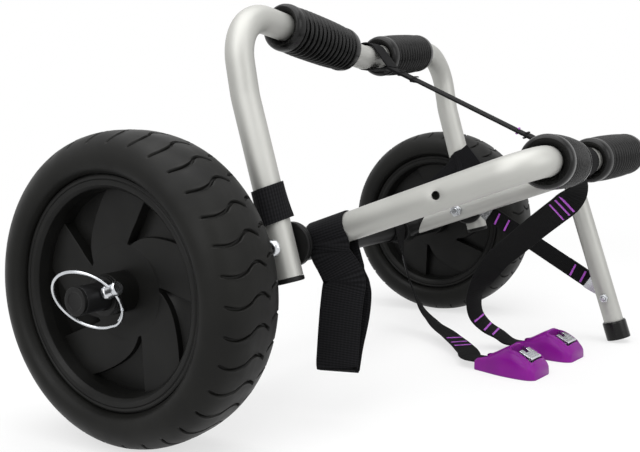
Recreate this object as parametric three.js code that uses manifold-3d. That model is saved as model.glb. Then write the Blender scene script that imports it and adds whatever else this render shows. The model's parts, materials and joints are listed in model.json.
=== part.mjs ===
// A two-wheeled kayak cart. Two bent tube frames cross like scissors on two bolts, four ribbed
// bumpers carry the hull, a kickstand props the front frame, and two straps with cam buckles lie
// ready on the floor. Millimetres, +Z up, +Y towards the kickstand, +X towards the wheel whose
// outer face shows. The origin is on the floor under the middle of the cart.
import * as THREE from "three";
import { mergeVertices } from "three/addons/utils/BufferGeometryUtils.js";
import Module from "manifold-3d";

const wasm = await Module();
wasm.setup();

// Clearances and counts
const gap = 0.3;
const cutOverrun = 3;
const fullTurn = 2 * Math.PI;
const quarterTurn = Math.PI / 2;
const wheelSides = 32;
const roundSides = 16;
const tubeSides = 14;
const boreSides = 8;
const smallSides = 10;
const bendSteps = 6;

// Wheels
const tyreRadius = 127;
const tyreThickness = 41;
const tyreWidth = 78;
const tyreShoulderDrop = 12;
const tyreShoulderWidth = 68;
const tyreTreadWidth = 40;
const tyreBulgeDrop = 19;
const rimWidth = 60;
const rimLipHeight = 7.4;
const rimLipThickness = 3;
const rimWallThickness = 4;
const rimWebThickness = 6;
const spokeCount = 5;
const spokeThickness = 8;
const spokeDepth = 22;
const spokeSweep = THREE.MathUtils.degToRad(34);
const hubRadius = 17;
const hubLength = 62;
const bushingRadius = 13.5;
const bushingLength = 16;
const bushingFlangeRadius = 16;
const bushingFlangeThickness = 2;
const washerThickness = 1.5;
const washerRadius = 15.5;

// Axle and what sits on it
const axleRadius = 11;
const axleWall = 2;
const axleBeyondPin = 17.6;
const axleCapThickness = 3;
const axleCapChamfer = 1.2;
const axleCapPlug = 12;
const axleSleeveRadius = 14;
const axleSleeveLength = 79.5;
const carrierRadius = 17;
const carrierWidth = 30;
const carrierPlugLength = 62;

// Locking pins
const pinRadius = 3.1;
const pinTurnUp = THREE.MathUtils.degToRad(20);
const pinSpin = THREE.MathUtils.degToRad(34);
const pinTailLength = 4;
const pinHeadRadius = 5.5;
const pinHeadLength = 14;
const pinCollarLength = 1;
const ringRadius = 29;
const ringWireRadius = 1.5;
const ringSides = 28;
const ringWireSides = 6;

// Tube frames
const tubeRadius = 12.5;
const tubeWall = 1.5;
const rearBendRadius = 42;
const frontBendRadius = 28;
const barBendRadius = 60;
const barDip = THREE.MathUtils.degToRad(6.8);
const pivotFromAxle = 86.4;
const frontRise = THREE.MathUtils.degToRad(18.1);
const frontLegHalf = 179.1;
const frontReach = 217;
const frontCutTip = 62.9;
const rearLean = THREE.MathUtils.degToRad(14.3);
const rearReach = 206;
const rearTail = 27;
const rearBarForward = 8;
const rearKneeDrop = 75;
const rearKneeRadius = 80;
const endCapThickness = 4;
const endCapRadius = 13;
const endCapPlug = 15;

// Bumpers
const bumperFromLeg = 30.1;
const bumperFromStrap = 6.5;
const bumperRadius = 22.5;
const bumperGroove = 2.4;
const bumperRibs = 13;
const bumperCollar = 12;
const bumperCollarRadius = 21;
const bumperMouthRadius = 17.5;

// Scissor bolts
const pivotBoltRadius = 4;
const pivotHeadRadius = 7.5;
const pivotHeadThickness = 5.5;
const pivotNutThickness = 6;
const pivotBoltTail = 3;
const pivotDiscRadius = 19.5;
const pivotDiscThickness = 8;
const pivotNeckRadius = 9.5;
const pivotNeckLength = 4.5;

// Kickstand
const standPivotReach = 135.9;
const standTubeRadius = 11;
const standTubeWall = 1.5;
const standSideGap = 0.6;
const standTilt = THREE.MathUtils.degToRad(16.5);
const standTopLength = 16;
const standFootRadius = 13.4;
const standFootLength = 21;
const standFootFloor = 5;
const standBoltRadius = 3;
const standHeadRadius = 6;
const standHeadThickness = 4;
const standNutThickness = 5;
const standBoltTail = 2;
const standStrapReach = 150;

// Kickstand strap and its two metal tabs
const tabThickness = 1.5;
const upperTabLength = 20;
const lowerTabLength = 29;
const tabWidth = 21;
const tabHoleMargin = 7;
const standStrapWidth = 20;
const strapWidth = 25;
const strapThickness = 1.8;
const tabBoltReach = 18;
const tabBoltRadius = 2.5;
const tabHeadRadius = 5;
const tabHeadThickness = 2;
const tabBoltTail = 6;

// Straps on the frames
const loopThickness = 2;
const loopOffset = 17;
const sleeveStart = 21;
const sleeveLength = 31;
const legStrapStart = 30;
const legStrapLength = 38;
const legBandWidth = 30;
const storageStart = 10.5;
const storageWidth = 38;
const storageDrop = 120;
const storageBulge = 12;
const storageFoot = 4;
const storageAside = 10;

// Cam buckles
const buckleLength = 69;
const buckleWidth = 44;
const buckleHeight = 30;
const buckleWindowLength = 23;
const buckleWindowWidth = 26;
const buckleWindowStart = 41;
const buckleMouthHeight = 9;
const buckleFloor = 6;
const camPlateThickness = 2;
const camEarHeight = 15;
const camRadius = 5;
const camHeight = 9;
const camPlace = 11;
const camLeverLength = 12;
const camLeverThickness = 2.5;
const nearBuckle = new THREE.Vector3(-27, 165, 0);
const farBuckle = new THREE.Vector3(-110, 179, 0);
const buckleTurn = THREE.MathUtils.degToRad(-9);

// The strap from the axle to the near buckle, and the strap from the front bar to the far one.
// The places are chosen by hand along the way each strap hangs, and end in the buckles' mouths.
// Each twist says which way the strap's width points at a share of its length.
const axleStrapPlace = -150;
const axleStrapRoute = [
  [-150, 12.5, 127],
  [-150, 13, 112],
  [-149, 22, 72],
  [-141, 42, 37],
  [-122, 69, 21],
  [-92, 103, 14],
  [-64, 129, 11],
  [-42, 145, 10],
];
const axleStrapTwist = [
  [0, 1, 0, 0],
  [0.12, 0.85, 0.53, 0],
  [0.5, 0.95, 0.3, 0],
  [1, 0.99, -0.16, 0],
];
const barStrapRoute = [
  [17, 279, 204.5],
  [15.5, 277.5, 195],
  [13, 272, 185.5],
  [8, 263, 176.5],
  [-6, 247, 165.5],
  [-24, 225, 150.5],
  [-44, 199, 131.5],
  [-62, 172, 111],
  [-75, 150, 86],
  [-89, 134, 60],
  [-98, 133, 40],
  [-105, 142, 26],
  [-111, 156, 16],
];
const barStrapTwist = [
  [0, -1, 0, 0],
  [0.1, -0.35, 0.65, -0.63],
  [0.5, 0, 0.8, -0.6],
  [0.72, -0.95, 0.3, 0],
  [1, -0.99, 0.16, 0],
];
const strapSteps = 28;
const strapLead = 12;

// The left leg strap's band, in the slot between the two left legs: up the rear leg and across it
const legBandRoute = [
  [64.9, -25.5],
  [59, -12.1],
  [50.4, 2.2],
  [42.9, 17.8],
  [34.9, 34.8],
  [27.8, 47.5],
  [17.9, 57.3],
];
const legBandTwist = [
  [0, 0, 0.9, 0.4],
  [1, 0, 0.5, 0.87],
];
const legBandSteps = 8;

// Places that follow from the sizes above
const rearLegHalf = frontLegHalf + 2 * tubeRadius + 2 * gap + pivotNeckLength + pivotDiscThickness;
const beadRadius = tyreRadius - tyreThickness;
const rimLipRadius = beadRadius + rimLipHeight;
const tyreBulgeRadius = tyreRadius - tyreBulgeDrop;
const bumperInner = loopOffset + strapWidth / 2 + bumperFromStrap;
const bumperOuter = frontLegHalf - bumperFromLeg;
const bumperLength = bumperOuter - bumperInner;
const bumperMiddle = (bumperInner + bumperOuter) / 2;
const sleeveInner = frontLegHalf + carrierWidth / 2 + gap;
const sleeveOuter = sleeveInner + axleSleeveLength;
const halfTrack = sleeveOuter + gap + bushingFlangeThickness + gap + hubLength / 2;
const pivotY = pivotFromAxle * Math.cos(frontRise);
const pivotZ = tyreRadius + pivotFromAxle * Math.sin(frontRise);
const standSide = frontLegHalf + tubeRadius + standSideGap + standTubeRadius;
const standPivotY = pivotY + standPivotReach * Math.cos(frontRise);
const standPivotZ = pivotZ + standPivotReach * Math.sin(frontRise);
const standLength = (standPivotZ - standFootRadius * Math.sin(standTilt)) / Math.cos(standTilt);
const hubStack = hubLength / 2 + gap + bushingFlangeThickness + gap + washerThickness + gap;
const pinPlace = halfTrack + hubStack + pinHeadRadius;
const axleHalfLength = pinPlace + axleBeyondPin;
const pinHeadStart = axleRadius + pinCollarLength;
const ringReach = pinHeadStart + pinHeadLength / 2;
const tubePlugRadius = (tubeRadius - tubeWall) * Math.cos(Math.PI / boreSides) - gap;

// Each frame has its own place, with +Y up its legs and the legs and bar in the plane z = 0, but
// the rear frame's bar is bent forward out of that plane
const frontFrame = {
  matrix: new THREE.Matrix4().makeRotationX(frontRise).setPosition(0, pivotY, pivotZ),
  legHalf: frontLegHalf,
  reach: frontReach,
  tail: frontCutTip,
  bendRadius: frontBendRadius,
  forward: 0,
};
const rearFrame = {
  matrix: new THREE.Matrix4().makeRotationX(quarterTurn + rearLean).setPosition(0, pivotY, pivotZ),
  legHalf: rearLegHalf,
  reach: rearReach,
  tail: rearTail,
  bendRadius: rearBendRadius,
  forward: rearBarForward,
};
const standMatrix = new THREE.Matrix4().makeRotationX(standTilt);
standMatrix.setPosition(-standSide, standPivotY, standPivotZ);

// Finishes
const finish = (color, roughness, metalness = 0) =>
  new THREE.MeshStandardMaterial({ color, roughness, metalness });
const satinAluminium = () => finish(0xc9cbc9, 0.35, 0.9);
const blackRubber = () => finish(0x1c1c1d, 0.75);
const tyreFoam = () => finish(0x303133, 0.85);
const blackPlastic = () => finish(0x1a1a1b, 0.5);
const blackWebbing = () => finish(0x151516, 0.9);
const blackAluminium = () => finish(0x2a2b2d, 0.45, 0.5);
const brightSteel = () => finish(0xd0d2d4, 0.25, 1);
const purpleSilicone = () => finish(0x8f1fa0, 0.4);

// The radius of a bore with flat sides that clears a round of the given radius
const clearBore = (radius, sides) => (radius + gap) / Math.cos(Math.PI / sides);

// Solids for joining and cutting
function solidOf(geometry) {
  const plain = geometry.clone();
  plain.deleteAttribute("normal");
  plain.deleteAttribute("uv");
  const merged = mergeVertices(plain, 1e-4);
  const triVerts = new Uint32Array(merged.index.array);
  const vertProperties = merged.attributes.position.array;
  return new wasm.Manifold(new wasm.Mesh({ numProp: 3, vertProperties, triVerts }));
}

function geometryOf(solid) {
  const made = solid.getMesh();
  const geometry = new THREE.BufferGeometry();
  geometry.setAttribute("position", new THREE.BufferAttribute(new Float32Array(made.vertProperties), 3));
  geometry.setIndex(new THREE.BufferAttribute(new Uint32Array(made.triVerts), 1));
  geometry.computeVertexNormals();
  return geometry;
}

function join(...geometries) {
  return geometryOf(geometries.map(solidOf).reduce((whole, next) => whole.add(next)));
}

function cut(body, ...tools) {
  return geometryOf(tools.map(solidOf).reduce((whole, tool) => whole.subtract(tool), solidOf(body)));
}

function common(one, other) {
  return geometryOf(solidOf(one).intersect(solidOf(other)));
}

// Turned pieces: a profile is a list of [radius, place along the axis]
function turned(profile, sides) {
  let area = 0;
  profile.forEach(([r, a], i) => {
    const [nextR, nextA] = profile[(i + 1) % profile.length];
    area += r * nextA - nextR * a;
  });
  const ordered = area > 0 ? profile : [...profile].reverse();
  const onAxis = ordered.some(([r]) => r === 0);
  let points = ordered;
  if (onAxis) {
    while (!(points[0][0] === 0 && points[points.length - 1][0] === 0)) {
      points = [...points.slice(1), points[0]];
    }
  } else {
    points = [...ordered, ordered[0]];
  }
  return new THREE.LatheGeometry(points.map(([r, a]) => new THREE.Vector2(r, a)), sides);
}

const turnedAlongX = (profile, sides) => turned(profile, sides).rotateZ(-quarterTurn);

const ringProfile = (inner, outer, from, to) => [
  [inner, from],
  [outer, from],
  [outer, to],
  [inner, to],
];

const rod = (radius, length, sides) => new THREE.CylinderGeometry(radius, radius, length, sides);
const rodAlongX = (radius, length, sides) => rod(radius, length, sides).rotateZ(quarterTurn);

// A path that runs straight from each station to the next and turns only at the stations
class StationPath extends THREE.Curve {
  constructor(stations) {
    super();
    this.stations = stations;
  }

  getPoint(t, target = new THREE.Vector3()) {
    const place = t * (this.stations.length - 1);
    const i = Math.min(Math.floor(place), this.stations.length - 2);
    return target.lerpVectors(this.stations[i], this.stations[i + 1], place - i);
  }

  getPointAt(t, target) {
    return this.getPoint(t, target);
  }

  getSpacedPoints() {
    return this.stations.map((station) => station.clone());
  }

  getTangent(t, target = new THREE.Vector3()) {
    const last = this.stations.length - 1;
    const i = Math.round(t * last);
    const here = this.stations[i];
    const before = i > 0 ? here.clone().sub(this.stations[i - 1]).normalize() : new THREE.Vector3();
    const after = i < last ? this.stations[i + 1].clone().sub(here).normalize() : new THREE.Vector3();
    return target.copy(before).add(after).normalize();
  }

  getTangentAt(t, target) {
    return this.getTangent(t, target);
  }
}

// A strap's path through its route, whose width turns from one direction to the next by a list
// of [share of the length, direction]
class StrapPath extends THREE.CatmullRomCurve3 {
  constructor(points, twist) {
    super(points, false, "centripetal");
    this.twist = twist;
  }

  across(share) {
    const directions = this.twist.map(([, x, y, z]) => new THREE.Vector3(x, y, z));
    const next = this.twist.findIndex(([place]) => place > share);
    if (next < 1) {
      return directions[directions.length - 1];
    }
    const [from] = this.twist[next - 1];
    const [to] = this.twist[next];
    return directions[next - 1].lerp(directions[next], (share - from) / (to - from));
  }

  computeFrenetFrames(segments) {
    const frames = { tangents: [], normals: [], binormals: [] };
    for (let i = 0; i <= segments; i += 1) {
      const tangent = this.getTangentAt(i / segments);
      const across = this.across(i / segments);
      across.addScaledVector(tangent, -across.dot(tangent)).normalize();
      frames.tangents.push(tangent);
      frames.normals.push(across);
      frames.binormals.push(tangent.clone().cross(across));
    }
    return frames;
  }
}

// Stations along straight runs whose corners are bent to a radius
function bentStations(corners, radii) {
  const stations = [corners[0]];
  for (let i = 1; i < corners.length - 1; i += 1) {
    const into = corners[i].clone().sub(corners[i - 1]).normalize();
    const out = corners[i + 1].clone().sub(corners[i]).normalize();
    const turn = into.angleTo(out);
    const inward = out.clone().addScaledVector(into, -into.dot(out)).normalize();
    const start = corners[i].clone().addScaledVector(into, -radii[i] * Math.tan(turn / 2));
    const centre = start.clone().addScaledVector(inward, radii[i]);
    const steps = Math.max(2, Math.ceil((bendSteps * turn) / quarterTurn));
    for (let k = 0; k <= steps; k += 1) {
      const angle = (turn * k) / steps;
      const station = centre.clone().addScaledVector(inward, -radii[i] * Math.cos(angle));
      stations.push(station.addScaledVector(into, radii[i] * Math.sin(angle)));
    }
  }
  stations.push(corners[corners.length - 1]);
  return stations;
}

function roundPoints(radius, sides) {
  return Array.from({ length: sides }, (_, i) => {
    const angle = (fullTurn * i) / sides;
    return new THREE.Vector2(radius * Math.cos(angle), radius * Math.sin(angle));
  });
}

function tubeAlong(stations, radius, wall) {
  const section = new THREE.Shape(roundPoints(radius, tubeSides));
  section.holes.push(new THREE.Path(roundPoints(radius - wall, boreSides)));
  const extrudePath = new StationPath(stations);
  return new THREE.ExtrudeGeometry(section, { steps: stations.length - 1, extrudePath });
}

function ribbonAlong(path, steps, width, thickness) {
  const section = new THREE.Shape([
    new THREE.Vector2(-width / 2, -thickness / 2),
    new THREE.Vector2(width / 2, -thickness / 2),
    new THREE.Vector2(width / 2, thickness / 2),
    new THREE.Vector2(-width / 2, thickness / 2),
  ]);
  return new THREE.ExtrudeGeometry(section, { steps, extrudePath: path });
}

function extruded(points, depth, holes = []) {
  const shape = new THREE.Shape(points.map(([x, y]) => new THREE.Vector2(x, y)));
  holes.forEach((hole) => shape.holes.push(new THREE.Path(hole)));
  return new THREE.ExtrudeGeometry(shape, { depth, bevelEnabled: false }).translate(0, 0, -depth / 2);
}

// The named meshes go into groups
const cart = new THREE.Group();

function add(parent, name, geometry, material) {
  const mesh = new THREE.Mesh(geometry, material);
  mesh.name = name;
  parent.add(mesh);
  return mesh;
}

function groupAt(parent, matrix) {
  const group = new THREE.Group();
  matrix.decompose(group.position, group.quaternion, group.scale);
  parent.add(group);
  return group;
}

const sides = [
  { name: "right", sign: 1 },
  { name: "left", sign: -1 },
];

// A group at one end of the axle whose own +X points away from the cart
function axleEnd(sign) {
  const group = new THREE.Group();
  group.position.z = tyreRadius;
  group.rotation.z = sign > 0 ? 0 : Math.PI;
  cart.add(group);
  return group;
}

// Tyre: solid foam with a rounded tread, seated between the rim's two lips
function tyre() {
  const half = tyreWidth / 2;
  const seatHalf = rimWidth / 2 - rimLipThickness - gap;
  const lipClear = rimLipRadius + gap;
  const outerHalf = [
    [tyreRadius, 0],
    [tyreRadius - tyreShoulderDrop / 6, tyreTreadWidth / 2],
    [tyreRadius - tyreShoulderDrop, tyreShoulderWidth / 2],
    [tyreBulgeRadius, half],
    [(lipClear + tyreBulgeRadius) / 2, half - rimLipThickness],
    [lipClear, rimWidth / 2],
    [lipClear, seatHalf],
    [beadRadius, seatHalf],
  ];
  const mirrored = outerHalf.slice(1).map(([r, a]) => [r, -a]).reverse();
  return turnedAlongX([...outerHalf, ...mirrored], wheelSides);
}

// Rim: barrel, lips, web and hub turned in one, with curved spokes standing on both faces
function spoke(angle) {
  const from = hubRadius - spokeThickness / 4;
  const to = beadRadius - gap - rimWallThickness / 2;
  const steps = 5;
  const edge = (side) =>
    Array.from({ length: steps + 1 }, (_, k) => {
      const share = k / steps;
      const r = from + (to - from) * share;
      const bend = angle + spokeSweep * share * share;
      const x = r * Math.cos(bend) - side * (spokeThickness / 2) * Math.sin(bend);
      const y = r * Math.sin(bend) + side * (spokeThickness / 2) * Math.cos(bend);
      return [x, y];
    });
  const outline = [...edge(-1), ...edge(1).reverse()];
  return extruded(outline, spokeDepth).rotateY(quarterTurn);
}

function rim() {
  const half = rimWidth / 2;
  const barrel = beadRadius - gap;
  const well = barrel - rimWallThickness;
  const bore = clearBore(bushingRadius, wheelSides);
  const outerHalf = [
    [bore, hubLength / 2],
    [hubRadius, hubLength / 2],
    [hubRadius, rimWebThickness / 2],
    [well, rimWebThickness / 2],
    [well, half - rimLipThickness],
    [barrel, half],
    [rimLipRadius, half],
    [rimLipRadius, half - rimLipThickness],
    [barrel, half - rimLipThickness],
  ];
  const mirrored = outerHalf.map(([r, a]) => [r, -a]).reverse();
  const body = turnedAlongX([...outerHalf, ...mirrored], wheelSides);
  const spokes = Array.from({ length: spokeCount }, (_, i) => spoke((fullTurn * i) / spokeCount));
  return join(body, ...spokes);
}

function bushing() {
  const inner = clearBore(axleRadius, roundSides);
  const face = hubLength / 2 + gap;
  return turnedAlongX(
    [
      [inner, hubLength / 2 - bushingLength],
      [bushingRadius, hubLength / 2 - bushingLength],
      [bushingRadius, face],
      [bushingFlangeRadius, face],
      [bushingFlangeRadius, face + bushingFlangeThickness],
      [inner, face + bushingFlangeThickness],
    ],
    roundSides,
  );
}

function makeWheel({ name, sign }) {
  const wheel = new THREE.Group();
  wheel.position.x = halfTrack;
  axleEnd(sign).add(wheel);
  add(wheel, `tyre_${name}`, tyre(), tyreFoam());
  add(wheel, `rim_${name}`, rim(), blackPlastic());
  add(wheel, `outer_bushing_${name}`, bushing(), blackPlastic());
  add(wheel, `inner_bushing_${name}`, bushing(), blackPlastic()).rotation.z = Math.PI;
}

// Axle tube, drilled for the two locking pins
function axleTube() {
  const length = 2 * axleHalfLength;
  const body = turnedAlongX(
    ringProfile(axleRadius - axleWall, axleRadius, -axleHalfLength, axleHalfLength),
    roundSides,
  );
  const drill = () => rod(clearBore(pinRadius, smallSides), length, smallSides);
  const right = drill().rotateX(pinTurnUp).translate(pinPlace, 0, 0);
  const left = drill().rotateX(-pinTurnUp).translate(-pinPlace, 0, 0);
  return cut(body, right, left);
}

function axleCap() {
  const plug = axleRadius - axleWall - gap;
  const face = axleHalfLength + gap;
  const end = face + axleCapThickness;
  return turnedAlongX(
    [
      [0, axleHalfLength - axleCapPlug],
      [plug, axleHalfLength - axleCapPlug],
      [plug, face],
      [axleRadius, face],
      [axleRadius, end - axleCapChamfer],
      [axleRadius - axleCapChamfer, end],
      [0, end],
    ],
    roundSides,
  );
}

// The sleeve that keeps the wheel off the carrier
function axleSleeve() {
  const inner = clearBore(axleRadius, roundSides);
  return turnedAlongX(ringProfile(inner, axleSleeveRadius, sleeveInner, sleeveOuter), roundSides);
}

function washer() {
  const from = halfTrack + hubLength / 2 + gap + bushingFlangeThickness + gap;
  const inner = clearBore(axleRadius, roundSides);
  return turnedAlongX(ringProfile(inner, washerRadius, from, from + washerThickness), roundSides);
}

// Locking pin along its own +Y, with a cross hole in its head for the ring
function lockingPin() {
  const headEnd = pinHeadStart + pinHeadLength;
  const body = turned(
    [
      [0, -axleRadius - pinTailLength],
      [pinRadius, -axleRadius - pinTailLength],
      [pinRadius, pinHeadStart],
      [pinHeadRadius, pinHeadStart],
      [pinHeadRadius, headEnd - pinCollarLength],
      [pinHeadRadius - pinCollarLength, headEnd],
      [0, headEnd],
    ],
    smallSides,
  );
  const bow = ringRadius - Math.sqrt(ringRadius ** 2 - pinHeadRadius ** 2);
  const hole = rod(ringWireRadius + bow + gap, 2 * pinHeadRadius + cutOverrun, smallSides).rotateX(quarterTurn);
  return cut(body, hole.translate(0, ringReach, 0));
}

function pinRing() {
  const ring = new THREE.TorusGeometry(ringRadius, ringWireRadius, ringWireSides, ringSides);
  return ring.rotateY(quarterTurn).translate(0, ringReach - ringRadius, 0);
}

function makeAxleEnd({ name, sign }) {
  const end = axleEnd(sign);
  add(end, `axle_cap_${name}`, axleCap(), blackPlastic());
  add(end, `axle_sleeve_${name}`, axleSleeve(), blackPlastic());
  add(end, `wheel_washer_${name}`, washer(), blackPlastic());
  const pin = new THREE.Group();
  pin.position.x = pinPlace;
  pin.rotation.x = pinTurnUp;
  end.add(pin);
  const spun = new THREE.Group();
  spun.rotation.y = pinSpin;
  pin.add(spun);
  add(spun, `locking_pin_${name}`, lockingPin(), brightSteel());
  add(spun, `pin_ring_${name}`, pinRing(), brightSteel());
}

// Corners of a U frame: legs along Y, top bar dipping to its middle
function frameTube({ legHalf, reach, tail, bendRadius, forward }) {
  const dip = legHalf * Math.tan(barDip);
  const leg = (x) => {
    const foot = new THREE.Vector3(x, -tail, 0);
    const knee = new THREE.Vector3(x, reach - rearKneeDrop, 0);
    const corner = new THREE.Vector3(x, reach, -forward);
    return forward > 0 ? [foot, knee, corner] : [foot, corner];
  };
  const middle = new THREE.Vector3(0, reach - dip, -forward);
  const corners = [...leg(-legHalf), middle, ...leg(legHalf).reverse()];
  const legRadii = forward > 0 ? [0, rearKneeRadius, bendRadius] : [0, bendRadius];
  const radii = [...legRadii, barBendRadius, ...[...legRadii].reverse()];
  return tubeAlong(bentStations(corners, radii), tubeRadius, tubeWall);
}

// Where the middle of a frame's bar is at a distance across it
const barHeight = ({ legHalf, reach }, x) => reach - (legHalf - Math.abs(x)) * Math.tan(barDip);

// A cross drill through both legs of a frame
function legDrill(legHalf, radius, reach) {
  const length = 2 * (legHalf + tubeRadius + cutOverrun);
  return rodAlongX(clearBore(radius, smallSides), length, smallSides).translate(0, reach, 0);
}

function frontTube() {
  const body = frameTube(frontFrame);
  const block = 4 * tubeRadius;
  const slope = Math.PI / 4;
  const saw = new THREE.BoxGeometry(2 * (frontLegHalf + block), block, block);
  saw.rotateX(slope).translate(
    0,
    -frontCutTip + tubeRadius - (block / 2) * Math.cos(slope),
    (block / 2) * Math.sin(slope),
  );
  const outward = tubeRadius + cutOverrun;
  const tabDrill = rodAlongX(clearBore(tabBoltRadius, smallSides), outward, smallSides);
  tabDrill.translate(-frontLegHalf - outward / 2, tabBoltReach, 0);
  return cut(
    body,
    saw,
    legDrill(frontLegHalf, pivotBoltRadius, 0),
    legDrill(frontLegHalf, standBoltRadius, standPivotReach),
    tabDrill,
  );
}

function rearTube() {
  const body = frameTube(rearFrame);
  return cut(body, legDrill(rearLegHalf, pivotBoltRadius, 0));
}

// Black moulded carrier: a collar round the axle with a plug that fills the leg's end
function carrier() {
  const half = carrierWidth / 2;
  const bore = clearBore(axleRadius, roundSides);
  const collar = turnedAlongX(
    [
      [0, -half],
      [carrierRadius, -half],
      [carrierRadius, half],
      [0, half],
    ],
    roundSides,
  );
  const plug = rod(tubePlugRadius, carrierPlugLength, roundSides).translate(0, carrierPlugLength / 2, 0);
  const drill = rodAlongX(bore, carrierWidth + cutOverrun, roundSides);
  return cut(join(collar, plug), drill);
}

function bumper() {
  const half = bumperLength / 2;
  const ribbed = half - bumperCollar;
  const pitch = (2 * ribbed) / bumperRibs;
  const bore = clearBore(tubeRadius, roundSides);
  const ribs = Array.from({ length: bumperRibs }, (_, i) => {
    const start = -ribbed + pitch * i;
    return [
      [bumperRadius - bumperGroove, start],
      [bumperRadius, start + pitch / 2],
    ];
  }).flat();
  return turnedAlongX(
    [
      [bore, -half],
      [bumperMouthRadius, -half],
      [bumperCollarRadius, -half + bumperCollar / 3],
      ...ribs,
      [bumperRadius - bumperGroove, ribbed],
      [bumperCollarRadius, half - bumperCollar / 3],
      [bumperMouthRadius, half],
      [bore, half],
    ],
    roundSides,
  );
}

function addBumpers(group, frameName, frame) {
  sides.forEach(({ name, sign }) => {
    const mesh = add(group, `${frameName}_bumper_${name}`, bumper(), blackRubber());
    mesh.position.set(sign * bumperMiddle, barHeight(frame, bumperMiddle), -frame.forward);
    mesh.rotation.z = sign * barDip;
  });
}

function endCap() {
  return turned(
    [
      [0, endCapPlug],
      [tubePlugRadius, endCapPlug],
      [tubePlugRadius, -gap],
      [endCapRadius, -gap],
      [endCapRadius, -gap - endCapThickness],
      [0, -gap - endCapThickness],
    ],
    roundSides,
  );
}

// Scissor bolt, its nut and the disc between the two legs, all along X
function pivotBolt() {
  const headFace = rearLegHalf + tubeRadius + gap;
  const nutFace = frontLegHalf - tubeRadius - gap;
  const tail = nutFace - pivotNutThickness - pivotBoltTail;
  return turnedAlongX(
    [
      [0, tail],
      [pivotBoltRadius, tail],
      [pivotBoltRadius, headFace],
      [pivotHeadRadius, headFace],
      [pivotHeadRadius, headFace + pivotHeadThickness / 2],
      [pivotHeadRadius / 2, headFace + pivotHeadThickness],
      [0, headFace + pivotHeadThickness],
    ],
    smallSides,
  );
}

function nut(radius, boltRadius, from, thickness) {
  const flats = 6;
  const ring = turnedAlongX(
    [
      [0, from],
      [radius, from],
      [radius, from - thickness],
      [0, from - thickness],
    ],
    flats,
  );
  const drill = rodAlongX(clearBore(boltRadius, smallSides), thickness + cutOverrun, smallSides);
  return cut(ring, drill.translate(from - thickness / 2, 0, 0));
}

function pivotDisc() {
  const from = frontLegHalf + tubeRadius + gap;
  const to = rearLegHalf - tubeRadius - gap;
  const bore = clearBore(pivotBoltRadius, roundSides);
  return turnedAlongX(
    [
      [bore, from],
      [pivotNeckRadius, from],
      [pivotNeckRadius, to - pivotDiscThickness],
      [pivotDiscRadius, to - pivotDiscThickness],
      [pivotDiscRadius, to],
      [bore, to],
    ],
    roundSides,
  );
}

function makeFrontFrame() {
  const group = groupAt(cart, frontFrame.matrix);
  add(group, "front_frame_tube", frontTube(), satinAluminium());
  addBumpers(group, "front", frontFrame);
  sides.forEach(({ name, sign }) => {
    const mesh = add(group, `axle_carrier_${name}`, carrier(), blackPlastic());
    mesh.position.set(sign * frontLegHalf, -pivotFromAxle, 0);
    const turn = sign > 0 ? 0 : Math.PI;
    const nutPlace = frontLegHalf - tubeRadius - gap;
    const pivotNut = nut(pivotHeadRadius, pivotBoltRadius, nutPlace, pivotNutThickness);
    add(group, `pivot_bolt_${name}`, pivotBolt(), brightSteel()).rotation.z = turn;
    add(group, `pivot_nut_${name}`, pivotNut, brightSteel()).rotation.z = turn;
    add(group, `pivot_disc_${name}`, pivotDisc(), blackPlastic()).rotation.z = turn;
  });
}

function legSleeve(start, length) {
  const inner = clearBore(tubeRadius, roundSides);
  const outer = inner + loopThickness;
  return turned(ringProfile(inner, outer, start, start + length), roundSides);
}

// The band's own place is the rear leg's, and it lies against the leg's inner side
function legBand() {
  const inward = tubeRadius + gap + loopThickness / 2;
  const points = legBandRoute.map(([y, z]) => new THREE.Vector3(inward, y, z));
  return ribbonAlong(new StrapPath(points, legBandTwist), legBandSteps, legBandWidth, loopThickness);
}

function makeRearFrame() {
  const group = groupAt(cart, rearFrame.matrix);
  add(group, "rear_frame_tube", rearTube(), satinAluminium());
  addBumpers(group, "rear", rearFrame);
  sides.forEach(({ name, sign }) => {
    const cap = add(group, `rear_end_cap_${name}`, endCap(), blackPlastic());
    cap.position.set(sign * rearLegHalf, -rearTail, 0);
  });
  const sleeve = add(group, "rear_leg_sleeve", legSleeve(sleeveStart, sleeveLength), blackWebbing());
  sleeve.position.x = rearLegHalf;
  const wrap = join(legSleeve(legStrapStart, legStrapLength), legBand());
  add(group, "rear_leg_strap", wrap, blackWebbing()).position.x = -rearLegHalf;
}

// Kickstand: its own -Z runs down the tube from the pivot
function standTube() {
  const foot = new THREE.Vector3(0, 0, -standLength + standFootFloor + gap);
  const body = tubeAlong([new THREE.Vector3(0, 0, standTopLength), foot], standTubeRadius, standTubeWall);
  const length = 2 * (standTubeRadius + cutOverrun);
  const pivotHole = rodAlongX(clearBore(standBoltRadius, smallSides), length, smallSides);
  const strapHole = rodAlongX(clearBore(tabBoltRadius, smallSides), length, smallSides);
  return cut(body, pivotHole, strapHole.translate(0, 0, -standStrapReach));
}

function standFoot() {
  const bore = clearBore(standTubeRadius, roundSides);
  const floor = -standLength + standFootFloor;
  return turned(
    [
      [0, -standLength],
      [standFootRadius, -standLength],
      [standFootRadius, -standLength + standFootLength],
      [bore, -standLength + standFootLength],
      [bore, floor],
      [0, floor],
    ],
    roundSides,
  ).rotateX(quarterTurn);
}

function boltAlongX(radius, headRadius, headThickness, from, to) {
  return turnedAlongX(
    [
      [0, from],
      [radius, from],
      [radius, to],
      [headRadius, to],
      [headRadius, to + headThickness],
      [0, to + headThickness],
    ],
    smallSides,
  );
}

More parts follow.
